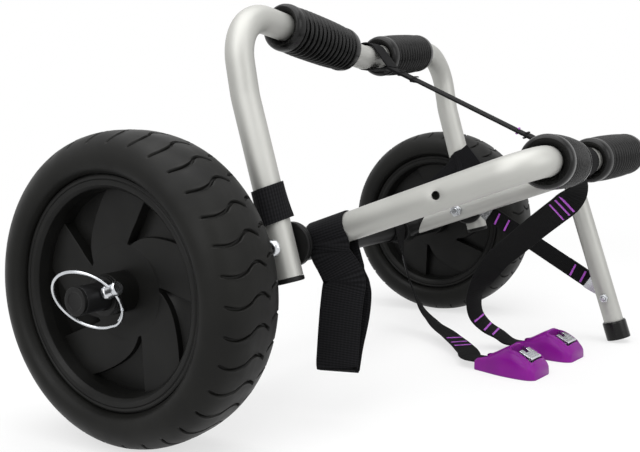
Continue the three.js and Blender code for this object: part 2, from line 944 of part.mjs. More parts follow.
// Metal tab in the plane of the legs: a rounded triangle with a hole near its point
function tab(length) {
  const points = [
    [0, tabHoleMargin],
    [-tabHoleMargin, tabHoleMargin / 3],
    [-tabWidth / 2, -length + tabHoleMargin / 2],
    [-tabWidth / 2, -length],
    [tabWidth / 2, -length],
    [tabWidth / 2, -length + tabHoleMargin / 2],
    [tabHoleMargin, tabHoleMargin / 3],
  ];
  const hole = roundPoints(clearBore(tabBoltRadius, smallSides), smallSides);
  return extruded(points, tabThickness, [hole]).rotateY(quarterTurn).rotateX(quarterTurn);
}

function makeKickstand() {
  const group = groupAt(cart, standMatrix);
  add(group, "kickstand_tube", standTube(), satinAluminium());
  add(group, "kickstand_foot", standFoot(), blackRubber());
}

// Bolt that carries the kickstand: head on the stand's outer side, nut inside the leg
function makeStandBolt() {
  const group = groupAt(cart, frontFrame.matrix);
  const nutFace = -frontLegHalf + tubeRadius + gap;
  const headFace = standSide + standTubeRadius + gap;
  const tail = -nutFace - standNutThickness - standBoltTail;
  const bolt = boltAlongX(standBoltRadius, standHeadRadius, standHeadThickness, tail, headFace);
  const standNut = nut(standHeadRadius, standBoltRadius, -nutFace, standNutThickness);
  [
    ["kickstand_bolt", bolt],
    ["kickstand_nut", standNut],
  ].forEach(([name, geometry]) => {
    const mesh = add(group, name, geometry, brightSteel());
    mesh.rotation.z = Math.PI;
    mesh.position.y = standPivotReach;
  });
}

const placeIn = (matrix, x, y, z) => new THREE.Vector3(x, y, z).applyMatrix4(matrix);

// The kickstand strap, the metal tab at each end of it, and the bolts that hold the tabs to the
// outer sides of the front leg and of the kickstand
function makeStandStrap() {
  const legFace = -frontLegHalf - tubeRadius - gap;
  const standFace = -standTubeRadius - gap;
  const upper = placeIn(frontFrame.matrix, legFace - tabThickness / 2, tabBoltReach, 0);
  const lower = placeIn(standMatrix, standFace - tabThickness / 2, 0, -standStrapReach);
  const slope = Math.atan2(lower.z - upper.z, lower.y - upper.y);
  const upperTab = add(cart, "strap_tab_upper", tab(upperTabLength), brightSteel());
  upperTab.position.copy(upper);
  upperTab.rotation.x = slope + quarterTurn;
  const lowerTab = add(cart, "strap_tab_lower", tab(lowerTabLength), brightSteel());
  lowerTab.position.copy(lower);
  lowerTab.rotation.x = slope - quarterTurn;
  const along = new THREE.Vector3(0, Math.cos(slope), Math.sin(slope));
  const start = upper.clone().addScaledVector(along, upperTabLength + gap);
  const end = lower.clone().addScaledVector(along, -lowerTabLength - gap);
  const across = [0, 0, -Math.sin(slope), Math.cos(slope)];
  const path = new StrapPath([start, end], [across]);
  add(cart, "kickstand_strap", ribbonAlong(path, 1, standStrapWidth, strapThickness), blackWebbing());
  const outerFace = tabThickness + gap;
  const upperBolt = boltAlongX(tabBoltRadius, tabHeadRadius, tabHeadThickness, -tabBoltTail, outerFace);
  const upperMesh = add(cart, "strap_tab_bolt", upperBolt, brightSteel());
  upperMesh.rotation.z = Math.PI;
  upperMesh.position.copy(placeIn(frontFrame.matrix, legFace, tabBoltReach, 0));
  const group = groupAt(cart, standMatrix);
  const tail = -2 * standTubeRadius - 3 * gap - standNutThickness - standBoltTail;
  const lowerBolt = boltAlongX(tabBoltRadius, tabHeadRadius, tabHeadThickness, tail, outerFace);
  const lowerNut = nut(tabHeadRadius, tabBoltRadius, -2 * standTubeRadius - 2 * gap, standNutThickness);
  [
    ["kickstand_strap_bolt", lowerBolt],
    ["kickstand_strap_nut", lowerNut],
  ].forEach(([name, geometry]) => {
    const mesh = add(group, name, geometry, brightSteel());
    mesh.rotation.z = Math.PI;
    mesh.position.set(standFace, 0, -standStrapReach);
  });
}

// A webbing loop round a frame's top bar, in the frame's own place
function barLoop(frame, x) {
  const inner = clearBore(tubeRadius, roundSides);
  const ring = turnedAlongX(
    ringProfile(inner, inner + loopThickness, -strapWidth / 2, strapWidth / 2),
    roundSides,
  );
  ring.rotateZ(Math.sign(x) * barDip).translate(x, barHeight(frame, x), -frame.forward);
  return ring.applyMatrix4(frame.matrix);
}

// The limit strap leaves the rear bar from below and meets the front bar's loop in its middle
function makeLimitStrap() {
  const rearEye = placeIn(rearFrame.matrix, -loopOffset, barHeight(rearFrame, loopOffset), -rearBarForward);
  const frontEye = placeIn(frontFrame.matrix, -loopOffset, barHeight(frontFrame, loopOffset), 0);
  const inset = clearBore(tubeRadius, roundSides) + loopThickness;
  const slope = Math.atan2(frontEye.z - rearEye.z, frontEye.y - rearEye.y);
  const start = rearEye.clone().add(new THREE.Vector3(0, inset * Math.sin(slope), -inset * Math.cos(slope)));
  const end = frontEye.clone().add(new THREE.Vector3(0, -inset * Math.cos(slope), -inset * Math.sin(slope)));
  const path = new StrapPath([start, end], [[0, 1, 0, 0]]);
  const webbing = ribbonAlong(path, 1, strapWidth, strapThickness);
  const loops = [barLoop(rearFrame, -loopOffset), barLoop(frontFrame, -loopOffset)];
  add(cart, "limit_strap", join(webbing, ...loops), blackWebbing());
}

// A place straight in front of a buckle's mouth
function beforeMouth(buckle, distance) {
  const outside = new THREE.Vector3(0, -distance, buckleMouthHeight);
  return outside.applyAxisAngle(new THREE.Vector3(0, 0, 1), buckleTurn).add(buckle);
}

function strapAlong(route, twist, loop, buckle) {
  const points = route.map(([x, y, z]) => new THREE.Vector3(x, y, z));
  const last = [beforeMouth(buckle, strapLead), beforeMouth(buckle, gap)];
  const path = new StrapPath([...points, ...last], twist);
  return join(ribbonAlong(path, strapSteps, strapWidth, loopThickness), loop);
}

function makeTieStraps() {
  const inner = clearBore(axleRadius, roundSides);
  const axleLoop = turnedAlongX(
    ringProfile(inner, inner + loopThickness, -strapWidth / 2, strapWidth / 2),
    roundSides,
  ).translate(axleStrapPlace, 0, tyreRadius);
  const axleStrap = strapAlong(axleStrapRoute, axleStrapTwist, axleLoop, nearBuckle);
  add(cart, "axle_tie_strap", axleStrap, blackWebbing());
  const barStrap = strapAlong(barStrapRoute, barStrapTwist, barLoop(frontFrame, loopOffset), farBuckle);
  add(cart, "bar_tie_strap", barStrap, blackWebbing());
}

// Hook-and-loop strap: a collar on the leg and a long loop that hangs from it
function makeStorageStrap() {
  const inner = clearBore(tubeRadius, roundSides);
  const collar = turned(
    ringProfile(inner, inner + loopThickness, storageStart, storageStart + storageWidth),
    roundSides,
  );
  collar.translate(frontLegHalf, 0, 0).applyMatrix4(frontFrame.matrix);
  const middle = placeIn(frontFrame.matrix, frontLegHalf, storageStart + storageWidth / 2, 0);
  const top = -inner - loopThickness / 2;
  const outer = [
    [-storageFoot, top],
    [-storageBulge, -storageDrop / 2],
    [-storageFoot, -storageDrop],
    [storageFoot, -storageDrop],
    [storageBulge, -storageDrop / 2],
    [storageFoot, top],
  ];
  const hole = [
    new THREE.Vector2(-storageFoot + loopThickness, top - 2 * loopThickness),
    new THREE.Vector2(-storageBulge + loopThickness, -storageDrop / 2),
    new THREE.Vector2(-storageFoot + loopThickness, -storageDrop + loopThickness),
    new THREE.Vector2(storageFoot - loopThickness, -storageDrop + loopThickness),
    new THREE.Vector2(storageBulge - loopThickness, -storageDrop / 2),
    new THREE.Vector2(storageFoot - loopThickness, top - 2 * loopThickness),
  ];
  const hanging = extruded(outer, storageWidth, [hole]).rotateX(quarterTurn);
  hanging.translate(middle.x, middle.y + storageAside, middle.z);
  const legRoom = rod(inner, 3 * storageWidth, roundSides).translate(frontLegHalf, storageStart, 0);
  legRoom.applyMatrix4(frontFrame.matrix);
  add(cart, "storage_strap", join(collar, cut(hanging, legRoom)), blackWebbing());
}

// Cam buckle: a soft tapered cover with a window over a metal cam. Its own +Y runs from the
// strap's mouth to the wide end, and it lies on z = 0.
const buckleSideShares = [
  [0, 0.1],
  [0, 0.5],
  [0.15, 0.5],
  [0.35, 0.7],
  [0.55, 0.96],
  [0.68, 1],
  [0.82, 0.88],
  [0.93, 0.6],
  [1, 0.4],
  [1, 0],
  [0.3, 0],
];
const bucklePlanShares = [
  [-0.34, 0],
  [0.34, 0],
  [0.46, 0.4],
  [0.5, 0.62],
  [0.5, 0.86],
  [0.44, 1],
  [-0.44, 1],
  [-0.5, 0.86],
  [-0.5, 0.62],
  [-0.46, 0.4],
];

function buckleCover() {
  const side = buckleSideShares.map(([y, z]) => [y * buckleLength, z * buckleHeight]);
  const plan = bucklePlanShares.map(([x, y]) => [x * buckleWidth, y * buckleLength]);
  const sideSolid = extruded(side, buckleWidth + cutOverrun).rotateX(quarterTurn).rotateZ(quarterTurn);
  const planSolid = extruded(plan, 2 * (buckleHeight + cutOverrun));
  const window = new THREE.BoxGeometry(buckleWindowWidth, buckleWindowLength, buckleHeight);
  const windowMiddle = buckleWindowStart + buckleWindowLength / 2;
  return cut(common(sideSolid, planSolid), window.translate(0, windowMiddle, buckleFloor + buckleHeight / 2));
}

// Metal channel in the window; its own origin is at the middle of the window's near edge
function camPlate() {
  const halfWidth = buckleWindowWidth / 2 - gap;
  const inner = halfWidth - camPlateThickness;
  const section = [
    [-halfWidth, 0],
    [halfWidth, 0],
    [halfWidth, camEarHeight],
    [inner, camEarHeight],
    [inner, camPlateThickness],
    [-inner, camPlateThickness],
    [-inner, camEarHeight],
    [-halfWidth, camEarHeight],
  ];
  const depth = buckleWindowLength - 2 * gap;
  return extruded(section, depth).rotateX(quarterTurn).translate(0, depth / 2 + gap, 0);
}

// Cam with its thumb lever, round its own X axis
function camLever() {
  const width = buckleWindowWidth - 2 * (camPlateThickness + 2 * gap);
  const drum = rodAlongX(camRadius, width, roundSides);
  const lever = new THREE.BoxGeometry(width, camLeverLength, camLeverThickness);
  const leverHeight = camRadius - camLeverThickness / 2;
  return join(drum, lever.translate(0, camLeverLength / 2, leverHeight));
}

function makeBuckle(name, place) {
  const buckle = new THREE.Group();
  buckle.position.copy(place);
  buckle.rotation.z = buckleTurn;
  cart.add(buckle);
  add(buckle, `buckle_cover_${name}`, buckleCover(), purpleSilicone());
  const plateMesh = add(buckle, `cam_plate_${name}`, camPlate(), brightSteel());
  plateMesh.position.set(0, buckleWindowStart, buckleFloor + gap);
  const lever = add(buckle, `cam_lever_${name}`, camLever(), brightSteel());
  lever.position.set(0, buckleWindowStart + camPlace, buckleFloor + gap + camHeight);
}

makeWheel(sides[0]);
makeWheel(sides[1]);
sides.forEach(makeAxleEnd);
add(cart, "axle_tube", axleTube(), blackAluminium()).position.z = tyreRadius;
makeFrontFrame();
makeRearFrame();
makeKickstand();
makeStandBolt();
makeStandStrap();
makeLimitStrap();
makeTieStraps();
makeStorageStrap();
makeBuckle("near", nearBuckle);
makeBuckle("far", farBuckle);

// The origin goes to the middle of the cart's length
const extent = new THREE.Box3().setFromObject(cart, true);
cart.position.y = -(extent.min.y + extent.max.y) / 2;

const kayakCart = new THREE.Group();
kayakCart.add(cart);

export default kayakCart;
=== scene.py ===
import json
import math

import bmesh
import bpy
from mathutils import Matrix, Vector


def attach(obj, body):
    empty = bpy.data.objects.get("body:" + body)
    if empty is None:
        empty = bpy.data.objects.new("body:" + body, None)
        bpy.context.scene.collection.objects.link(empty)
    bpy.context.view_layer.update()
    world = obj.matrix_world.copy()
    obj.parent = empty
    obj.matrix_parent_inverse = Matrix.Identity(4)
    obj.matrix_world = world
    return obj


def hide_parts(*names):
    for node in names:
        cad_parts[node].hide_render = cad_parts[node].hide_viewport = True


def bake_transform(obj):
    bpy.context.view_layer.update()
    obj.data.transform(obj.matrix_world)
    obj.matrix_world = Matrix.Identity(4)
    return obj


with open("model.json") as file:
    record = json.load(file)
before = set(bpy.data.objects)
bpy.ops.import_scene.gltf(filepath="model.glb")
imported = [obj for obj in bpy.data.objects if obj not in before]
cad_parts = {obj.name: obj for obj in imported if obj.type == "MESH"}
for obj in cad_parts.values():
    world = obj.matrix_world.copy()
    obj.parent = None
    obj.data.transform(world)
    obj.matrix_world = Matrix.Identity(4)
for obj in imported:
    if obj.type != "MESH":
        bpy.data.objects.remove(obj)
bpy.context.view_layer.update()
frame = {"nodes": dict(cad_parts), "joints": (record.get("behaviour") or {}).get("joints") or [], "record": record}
record = frame["record"]
joints = {joint["name"]: joint for joint in frame["joints"]}
bodyOf = {node: body for body, nodes in record["behaviour"]["bodies"].items() for node in nodes}
slotOf = {part["node"]: part["material_slot"] for part in record["subparts"]}
print("frame loaded with", len(frame["nodes"]), "nodes")

mm = 0.001
gap = 0.3  # clearance between neighbours; sizes are in mm, but the camera's and lamps' in metres
fullTurn = 2 * math.pi
xAxis, yAxis, zAxis = Vector((1, 0, 0)), Vector((0, 1, 0)), Vector((0, 0, 1))


# Places, in millimetres
def jointPlace(name):
    return Vector(joints[name]["pos_m"]) / mm


def rotation(degrees, axis):
    return Matrix.Rotation(math.radians(degrees), 4, axis)


def turnedFrame(place, degrees, axis="X"):
    return Matrix.Translation(place) @ rotation(degrees, axis)


leans = {"front": 18.1, "rear": 104.3, "stand": 16.5, "barDip": 6.8}
frontMatrix = turnedFrame(jointPlace("rear_frame_fold"), leans["front"])
rearMatrix = turnedFrame(jointPlace("rear_frame_fold"), leans["rear"])
standMatrix = turnedFrame(jointPlace("kickstand_fold"), leans["stand"])
axlePlace = jointPlace("wheel_right_spin")
halfTrack = axlePlace.x
axleMatrix = Matrix.Translation((0, axlePlace.y, axlePlace.z))
sides = {"right": 1, "left": -1}


def axleEnd(side):  # own +X points away from the cart
    return axleMatrix @ rotation(0 if side == "right" else 180, "Z")


# Camera, worked out for the photograph's 640 x 452 frame
cameraView = {
    "place": (0.7756, 0.37983, 0.2353),
    "forward": (-0.84465, -0.52674, -0.09547),
    "rollDegrees": -1.56,
    "focalPixels": 812.3,
    "widthPixels": 640,
    "sensor": 36.0,
}


def makeCamera():
    data = bpy.data.cameras.new("camera")
    data.sensor_width = cameraView["sensor"]
    data.lens = cameraView["sensor"] * cameraView["focalPixels"] / cameraView["widthPixels"]
    data.clip_start, data.clip_end = 0.01, 50
    camera = bpy.data.objects.new("camera", data)
    forward = Vector(cameraView["forward"]).normalized()
    level = forward.cross(zAxis).normalized()
    roll = math.radians(cameraView["rollDegrees"])
    right = level * math.cos(roll) + level.cross(forward) * math.sin(roll)
    turn = Matrix((right, right.cross(forward), -forward)).transposed()
    camera.matrix_world = Matrix.Translation(cameraView["place"]) @ turn.to_4x4()
    bpy.context.scene.collection.objects.link(camera)
    bpy.context.scene.camera = camera


# Shapes are dictionaries of points in millimetres, faces and marks; a mark is a place on the
# webbing's own surface, across and along, in metres
def shapeOf(points, faces, marks=None):
    return {"points": points, "faces": faces, "marks": marks or [(0, 0)] * len(points)}


def joined(*shapes):
    points, faces, marks = [], [], []
    for shape in shapes:
        start = len(points)
        points += shape["points"]
        marks += shape["marks"]
        faces += [[start + i for i in face] for face in shape["faces"]]
    return shapeOf(points, faces, marks)


def placed(shape, matrix):
    return shapeOf([matrix @ Vector(p) for p in shape["points"]], shape["faces"], shape["marks"])


def loft(rings, closed=False, marks=None):  # skin over rings of points, capped unless closed
    count = len(rings[0])
    points = [p for ring in rings for p in ring]
    faces = []
    for i in range(len(rings) if closed else len(rings) - 1):
        here, there = i * count, (i + 1) % len(rings) * count
        for k in range(count):
            n = (k + 1) % count
            faces.append([here + k, here + n, there + n, there + k])
    if not closed:
        faces.append(list(range(count))[::-1])
        faces.append([len(points) - count + k for k in range(count)])
    return shapeOf(points, faces, marks)


def eased(corners, radius, steps=3):  # a closed outline with its corners rounded
    points = []
    for i, corner in enumerate(corners):
        here = Vector(corner)
        before, after = Vector(corners[i - 1]), Vector(corners[(i + 1) % len(corners)])
        reach = min(radius, (before - here).length * 0.45, (after - here).length * 0.45)
        if here.y == 0:
            points.append(here)
            continue
        start = here + (before - here).normalized() * reach
        end = here + (after - here).normalized() * reach
        for k in range(steps + 1):
            share = k / steps
            points.append(start.lerp(here, share).lerp(here.lerp(end, share), share))
    return points


def turned(profile, segments=48):  # a profile of (along, radius) turned round X
    rings = []
    for i in range(segments):
        angle = fullTurn * i / segments
        rings.append([Vector((a, r * math.cos(angle), r * math.sin(angle))) for a, r in profile])
    return loft(rings, closed=True)


def turnedSoft(profile, ease, segments=48):
    return turned(eased(profile, ease), segments)


def pipe(inner, outer, start, end, ease=0.4, segments=48):  # along X; a rod when inner is 0
    return turnedSoft([(start, inner), (start, outer), (end, outer), (end, inner)], ease, segments)


def drill(radius, half, segments):  # a cutter along X
    return turned([(-half, 0), (-half, radius), (half, radius), (half, 0)], segments)


def clamped(value):
    return min(1.0, max(0.0, value))


def circle(radius, count):
    turns = [fullTurn * i / count for i in range(count)]
    return [(radius * math.cos(turn), radius * math.sin(turn)) for turn in turns]


def neighbours(path, i):
    return path[max(i - 1, 0)], path[min(i + 1, len(path) - 1)]


def squared(wide, tangent):  # the part of a direction that is square to the tangent
    return (wide - tangent * wide.dot(tangent)).normalized()


def webbingAt(path, across, i):  # along, across and out of a strap at one of its stations
    before, after = neighbours(path, i)
    tangent = (after - before).normalized()
    wide = squared(across[i] if isinstance(across, list) else across, tangent)
    return tangent, wide, tangent.cross(wide)


def ringsAlong(path, section, side):
    rings = []
    for i, here in enumerate(path):
        before, after = neighbours(path, i)
        tangent = ((here - before).normalized() + (after - here).normalized()).normalized()
        side = squared(side, tangent)
        up = tangent.cross(side)
        rings.append([here + side * a + up * b for a, b in section])
    return rings


def bentPath(corners, radii, steps=16):
    path = [corners[0]]
    for i in range(1, len(corners) - 1):
        into = (corners[i] - corners[i - 1]).normalized()
        out = (corners[i + 1] - corners[i]).normalized()
        turn = into.angle(out)
        inward = (out - into * into.dot(out)).normalized()
        start = corners[i] - into * (radii[i] * math.tan(turn / 2))
        centre = start + inward * radii[i]
        for k in range(steps + 1):
            angle = turn * k / steps
            path.append(centre - inward * (radii[i] * math.cos(angle)) + into * (radii[i] * math.sin(angle)))
    return path + [corners[-1]]


def strip(path, across, width, thickness):  # flat webbing along a path
    corner = (width / 2, thickness / 2)
    corners = [(-corner[0], -corner[1]), (corner[0], -corner[1]), corner, (-corner[0], corner[1])]
    outline = eased(corners, thickness * 0.4, 2)
    rings, marks, travelled = [], [], 0.0
    for i, here in enumerate(path):
        travelled += (here - neighbours(path, i)[0]).length
        wide, thick = webbingAt(path, across, i)[1:]
        rings.append([here + wide * a + thick * b for a, b in outline])
        marks += [(a * mm, travelled * mm) for a, b in outline]
    return loft(rings, marks=marks)


def solidBox(low, high, radius=0.5):  # a block with eased edges, its outline in X and Y
    outline = eased([(low[0], low[1]), (high[0], low[1]), (high[0], high[1]), (low[0], high[1])], radius)
    ease = min(radius, (high[2] - low[2]) * 0.3) / 2
    middle = Vector(((low[0] + high[0]) / 2, (low[1] + high[1]) / 2))
    rings = []
    for height, inset in ((low[2], ease), (low[2] + ease, 0), (high[2] - ease, 0), (high[2], ease)):
        share = 1 - 2 * inset / max(high[0] - low[0], high[1] - low[1])
        rings.append([Vector((*(middle + (p - middle) * share), height)) for p in outline])
    return loft(rings)


def centripetal(route, steps):  # a smooth curve through the route, in even steps
    pieces = 24
    ends = [route[0] * 2 - route[1], *route, route[-1] * 2 - route[-2]]
    fine = []
    for i in range(len(route) - 1):
        p0, p1, p2, p3 = ends[i:i + 4]
        d0, d1, d2 = ((b - a).length ** 0.5 for a, b in ((p0, p1), (p1, p2), (p2, p3)))
        t1 = ((p1 - p0) / d0 - (p2 - p0) / (d0 + d1) + (p2 - p1) / d1) * d1
        t2 = ((p2 - p1) / d1 - (p3 - p1) / (d1 + d2) + (p3 - p2) / d2) * d1
        for k in range(pieces):
            t = k / pieces
            fine.append(p1 + t1 * t + (3 * (p2 - p1) - 2 * t1 - t2) * t * t + (2 * (p1 - p2) + t1 + t2) * t ** 3)
    fine.append(route[-1])
    return evenly(fine, steps)


def evenly(fine, steps):
    reach = [0.0]
    for a, b in zip(fine, fine[1:]):
        reach.append(reach[-1] + (b - a).length)
    path, i = [], 0
    for k in range(steps + 1):
        target = reach[-1] * k / steps
        while i < len(fine) - 2 and reach[i + 1] < target:
            i += 1
        path.append(fine[i].lerp(fine[i + 1], (target - reach[i]) / (reach[i + 1] - reach[i])))
    return path


def camel(node):
    first, *others = node.split("_")
    return first + "".join(word.capitalize() for word in others)


def makePiece(name, shape, material, sharp=38, matrix=None):
    if matrix is not None:
        shape = placed(shape, matrix)
    mesh = bpy.data.meshes.new(name)
    mesh.from_pydata([Vector(p) * mm for p in shape["points"]], [], shape["faces"])
    marks = mesh.uv_layers.new(name="marks")
    for loop in mesh.loops:
        marks.data[loop.index].uv = shape["marks"][loop.vertex_index]
    tidy(mesh)
    mesh.materials.append(material)
    mesh.shade_smooth()
    mesh.set_sharp_from_angle(angle=math.radians(sharp))
    piece = bpy.data.objects.new(name, mesh)
    bpy.context.scene.collection.objects.link(piece)
    return piece


def tidy(mesh):
    made = bmesh.new()
    made.from_mesh(mesh)
    bmesh.ops.remove_doubles(made, verts=made.verts, dist=1e-6)
    bmesh.ops.delete(made, geom=[e for e in made.edges if not e.link_faces], context="EDGES")
    bmesh.ops.delete(made, geom=[v for v in made.verts if not v.link_edges], context="VERTS")
    bmesh.ops.recalc_face_normals(made, faces=made.faces)
    made.to_mesh(mesh)
    made.free()


def dress(node, shape, matrix=None, sharp=38, rides=True, finish=None):  # a piece in a node's place
    piece = makePiece(camel(node), shape, finish or finishes[slotOf[node]], sharp, matrix)
    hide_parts(node)
    if rides:
        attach(piece, bodyOf[node])
    return piece


def addOn(name, shape, material, body, matrix=None):  # a small piece with no node
    piece = makePiece(name, shape, material, matrix=matrix)
    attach(piece, body)
    return piece


def carved(shape, *cutters):  # a shape with others cut out of it, done a thousand times larger
    large = Matrix.Scale(1 / mm, 4)
    piece = makePiece("carved", shape, None, matrix=large)
    for cutter in cutters:
        tool = makePiece("cutter", cutter, None, matrix=large)
        modifier = piece.modifiers.new("cut", "BOOLEAN")
        modifier.operation = "DIFFERENCE"
        modifier.solver = "EXACT"
        modifier.object = tool
        done = bpy.data.meshes.new_from_object(piece.evaluated_get(bpy.context.evaluated_depsgraph_get()))
        piece.modifiers.remove(modifier)
        piece.data = done
        bpy.data.objects.remove(tool)
    result = shapeOf([v.co.copy() for v in piece.data.vertices], [list(f.vertices) for f in piece.data.polygons])
    bpy.data.objects.remove(piece)
    return result


# Colours and materials
def hexColour(code):
    parts = [int(code[i:i + 2], 16) / 255 for i in (1, 3, 5)]
    return (*[p / 12.92 if p <= 0.04045 else ((p + 0.055) / 1.055) ** 2.4 for p in parts], 1)


def addNode(tree, kind, settings, links=None):
    made = tree.nodes.new(kind)
    for name, value in settings.items():
        if isinstance(name, int) or name in made.inputs:
            made.inputs[name].default_value = value
        else:
            setattr(made, name, value)
    for name, source in (links or {}).items():
        tree.links.new(source, made.inputs[name])
    return made


def startMaterial(name, **settings):
    material = bpy.data.materials.new(name)
    material.use_nodes = True
    shader = material.node_tree.nodes["Principled BSDF"]
    for socket, value in settings.items():
        shader.inputs[socket.replace("_", " ")].default_value = value
    return material, material.node_tree, shader


def grain(tree, sizeMm, detail=3.0):  # noise whose blobs are about that wide
    links = {"Vector": addNode(tree, "ShaderNodeTexCoord", {}).outputs["Object"]}
    return addNode(tree, "ShaderNodeTexNoise", {"Scale": 0.5 / (sizeMm * mm), "Detail": detail}, links).outputs[0]


def shades(tree, factor, stops):  # two colours along a 0 to 1 value
    ramp = addNode(tree, "ShaderNodeValToRGB", {}, {"Fac": factor})
    for stop, (place, code) in zip(ramp.color_ramp.elements, stops):
        stop.position = place
        stop.color = hexColour(code)
    return ramp.outputs["Color"]


def spread(tree, value, low, high):  # a 0.3 to 0.7 noise value onto a range
    settings = {"From Min": 0.3, "From Max": 0.7, "To Min": low, "To Max": high}
    return addNode(tree, "ShaderNodeMapRange", settings, {"Value": value}).outputs["Result"]


def bumps(tree, shader, height, depthMm, strength):
    settings = {"Strength": strength, "Distance": depthMm * mm}
    made = addNode(tree, "ShaderNodeBump", settings, {"Height": height})
    tree.links.new(made.outputs["Normal"], shader.inputs["Normal"])


# Colour, roughness and bump each follow a grain, and each is given with that grain's width in mm first
def grained(name, colour, rough=None, bump=None, detail=3.0, edge=0.3, **settings):
    material, tree, shader = startMaterial(name, **settings)
    width, dark, light = colour
    stops = [(edge, dark), (1 - edge, light)]
    tree.links.new(shades(tree, grain(tree, width, detail), stops), shader.inputs["Base Color"])
    if rough:
        width, low, high = rough
        tree.links.new(spread(tree, grain(tree, width, detail), low, high), shader.inputs["Roughness"])
    if bump:
        width, depthMm, strength = bump
        bumps(tree, shader, grain(tree, width), depthMm, strength)
    return material


# Polyester webbing, woven: black ribs of weft held down by lines of warp, with painted shade in the weave's hollows
def webbing(name, ribMm, warpMm, dark="#060606", light="#171718"):
    settings = {"Roughness": 0.8, "IOR": 1.5, "Specular_IOR_Level": 0.12}
    material, tree, shader = startMaterial(name, **settings)
    place = addNode(tree, "ShaderNodeTexCoord", {})
    marks = addNode(tree, "ShaderNodeSeparateXYZ", {}, {"Vector": place.outputs["UV"]})
    waves = []
    for socket, pitchMm in (("Y", ribMm), ("X", warpMm)):
        turns = {"operation": "MULTIPLY", 1: fullTurn / (pitchMm * mm)}
        phase = addNode(tree, "ShaderNodeMath", turns, {0: marks.outputs[socket]})
        waves.append(addNode(tree, "ShaderNodeMath", {"operation": "SINE"}, {0: phase.outputs[0]}).outputs[0])
    warpShare = {"operation": "MULTIPLY_ADD", 1: 0.45}
    weave = addNode(tree, "ShaderNodeMath", warpShare, {0: waves[1], 2: waves[0]}).outputs[0]
    whole = {"From Min": -1.4, "From Max": 1.4}
    height = addNode(tree, "ShaderNodeMapRange", whole, {"Value": weave}).outputs["Result"]
    # painted shade: the colour follows the weave's height, darker in its hollows than on its crests
    tree.links.new(shades(tree, height, [(0.2, dark), (0.9, light)]), shader.inputs["Base Color"])
    bumps(tree, shader, height, 0.25, 0.9)
    return material


finishes = {
    # Aluminium tube, bead blasted and anodised: a soft pale grey that blurs what it reflects. Its
    # bead marks are drawn coarser than the real 0.1 mm.
    "satin_aluminium": grained(
        "satin anodised aluminium", (45, "#a6a6a2", "#b1b1ad"), (45, 0.45, 0.55), (0.7, 0.02, 0.5),
        detail=2, edge=0.35, Metallic=0.6, Roughness=0.5),
    # Aluminium tube, black anodised: dark satin with a fine grain
    "black_aluminium": grained(
        "black anodised aluminium", (20, "#111112", "#19191a"), bump=(0.8, 0.02, 0.5),
        Metallic=0.5, Roughness=0.45),
    # Polyurethane foam, moulded with a skin: near black, dull, with fine pores
    "tyre_foam": grained(
        "moulded foam tyre", (25, "#090908", "#11110f"), (12, 0.42, 0.56), (1.4, 0.08, 0.5),
        Roughness=0.5, IOR=1.5, Specular_IOR_Level=0.16),
    # Polypropylene, injection moulded: black with a spark-eroded texture and a low sheen
    "rim_plastic": grained(
        "moulded rim plastic", (18, "#0c0c0b", "#151514"), bump=(0.9, 0.05, 0.5),
        Roughness=0.44, IOR=1.49, Specular_IOR_Level=0.16),
    # The same plastic in a smoother mould: a little more sheen
    "black_plastic": grained(
        "moulded black plastic", (18, "#0c0c0c", "#161616"), bump=(0.9, 0.05, 0.5),
        Roughness=0.38, IOR=1.49, Specular_IOR_Level=0.16),
    # EPDM rubber, moulded: deep black whose ribs catch a soft gleam
    "black_rubber": grained(
        "moulded rubber", (15, "#040404", "#090909"), (6, 0.22, 0.32), (0.8, 0.03, 0.4),
        Roughness=0.26, IOR=1.52, Specular_IOR_Level=0.24),
    # Stainless steel, tumbled: bright, with a few fine rubs
    "bright_steel": grained(
        "tumbled stainless steel", (6, "#b9bcc0", "#d3d5d8"), (3, 0.16, 0.32), Metallic=1.0, Roughness=0.22),
    "black_webbing": webbing("woven polyester webbing", 1.7, 1.3),
    # Silicone, moulded and glossy: strong purple that light enters a little way
    "purple_silicone": grained(
        "moulded silicone", (22, "#720c7a", "#85148c"), (5, 0.28, 0.38), (1.6, 0.03, 0.4), Roughness=0.32,
        IOR=1.41, Specular_IOR_Level=0.28, Subsurface_Weight=0.08, Subsurface_Scale=0.002),
    # Polyester thread, sewn in tight bars: bright purple with a silky side light
    "thread": grained(
        "purple sewing thread", (2, "#8d2fa6", "#b24cc9"), Roughness=0.5, IOR=1.5, Sheen_Weight=0.3),
    # Hook-and-loop strap, woven: slightly paler, with wider ribs
    "hookStrap": webbing("woven hook-and-loop strap", 2.2, 3.2, "#08080a", "#19191b"),
}
print("materials made:", len(finishes))


# Tie straps: their routes are the ones the solids follow, before the cart's own shift, each with
# the directions its width takes at shares of its length
strapSizes = {"width": 25, "thickness": 1.9, "steps": 90, "intoMouth": 9, "lead": 12}
tieStraps = {
    "axle_tie_strap": {
        "buckle": "near",
        "tacks": (0.68, 0.73, 0.78),
        "route": [
            (-150, 12.5, 127), (-150, 13, 112), (-149, 22, 72),
            (-141, 42, 37), (-122, 69, 21), (-92, 103, 14),
            (-64, 129, 11), (-42, 145, 10),
        ],
        "twist": [(0, (1, 0, 0)), (0.12, (0.85, 0.53, 0)), (0.5, (0.95, 0.3, 0)), (1, (0.99, -0.16, 0))],
    },
    "bar_tie_strap": {
        "buckle": "far",
        "tacks": (0.1, 0.125, 0.15, 0.8, 0.84, 0.88),
        "route": [
            (17, 279, 204.5), (15.5, 277.5, 195), (13, 272, 185.5),
            (8, 263, 176.5), (-6, 247, 165.5), (-24, 225, 150.5),
            (-44, 199, 131.5), (-62, 172, 111), (-75, 150, 86),
            (-89, 134, 60), (-98, 133, 40), (-105, 142, 26),
            (-111, 156, 16),
        ],
        "twist": [(0, (-1, 0, 0)), (0.1, (-0.35, 0.65, -0.63)), (0.5, (0, 0.8, -0.6)),
                  (0.72, (-0.95, 0.3, 0)), (1, (-0.99, 0.16, 0))],
    },
}
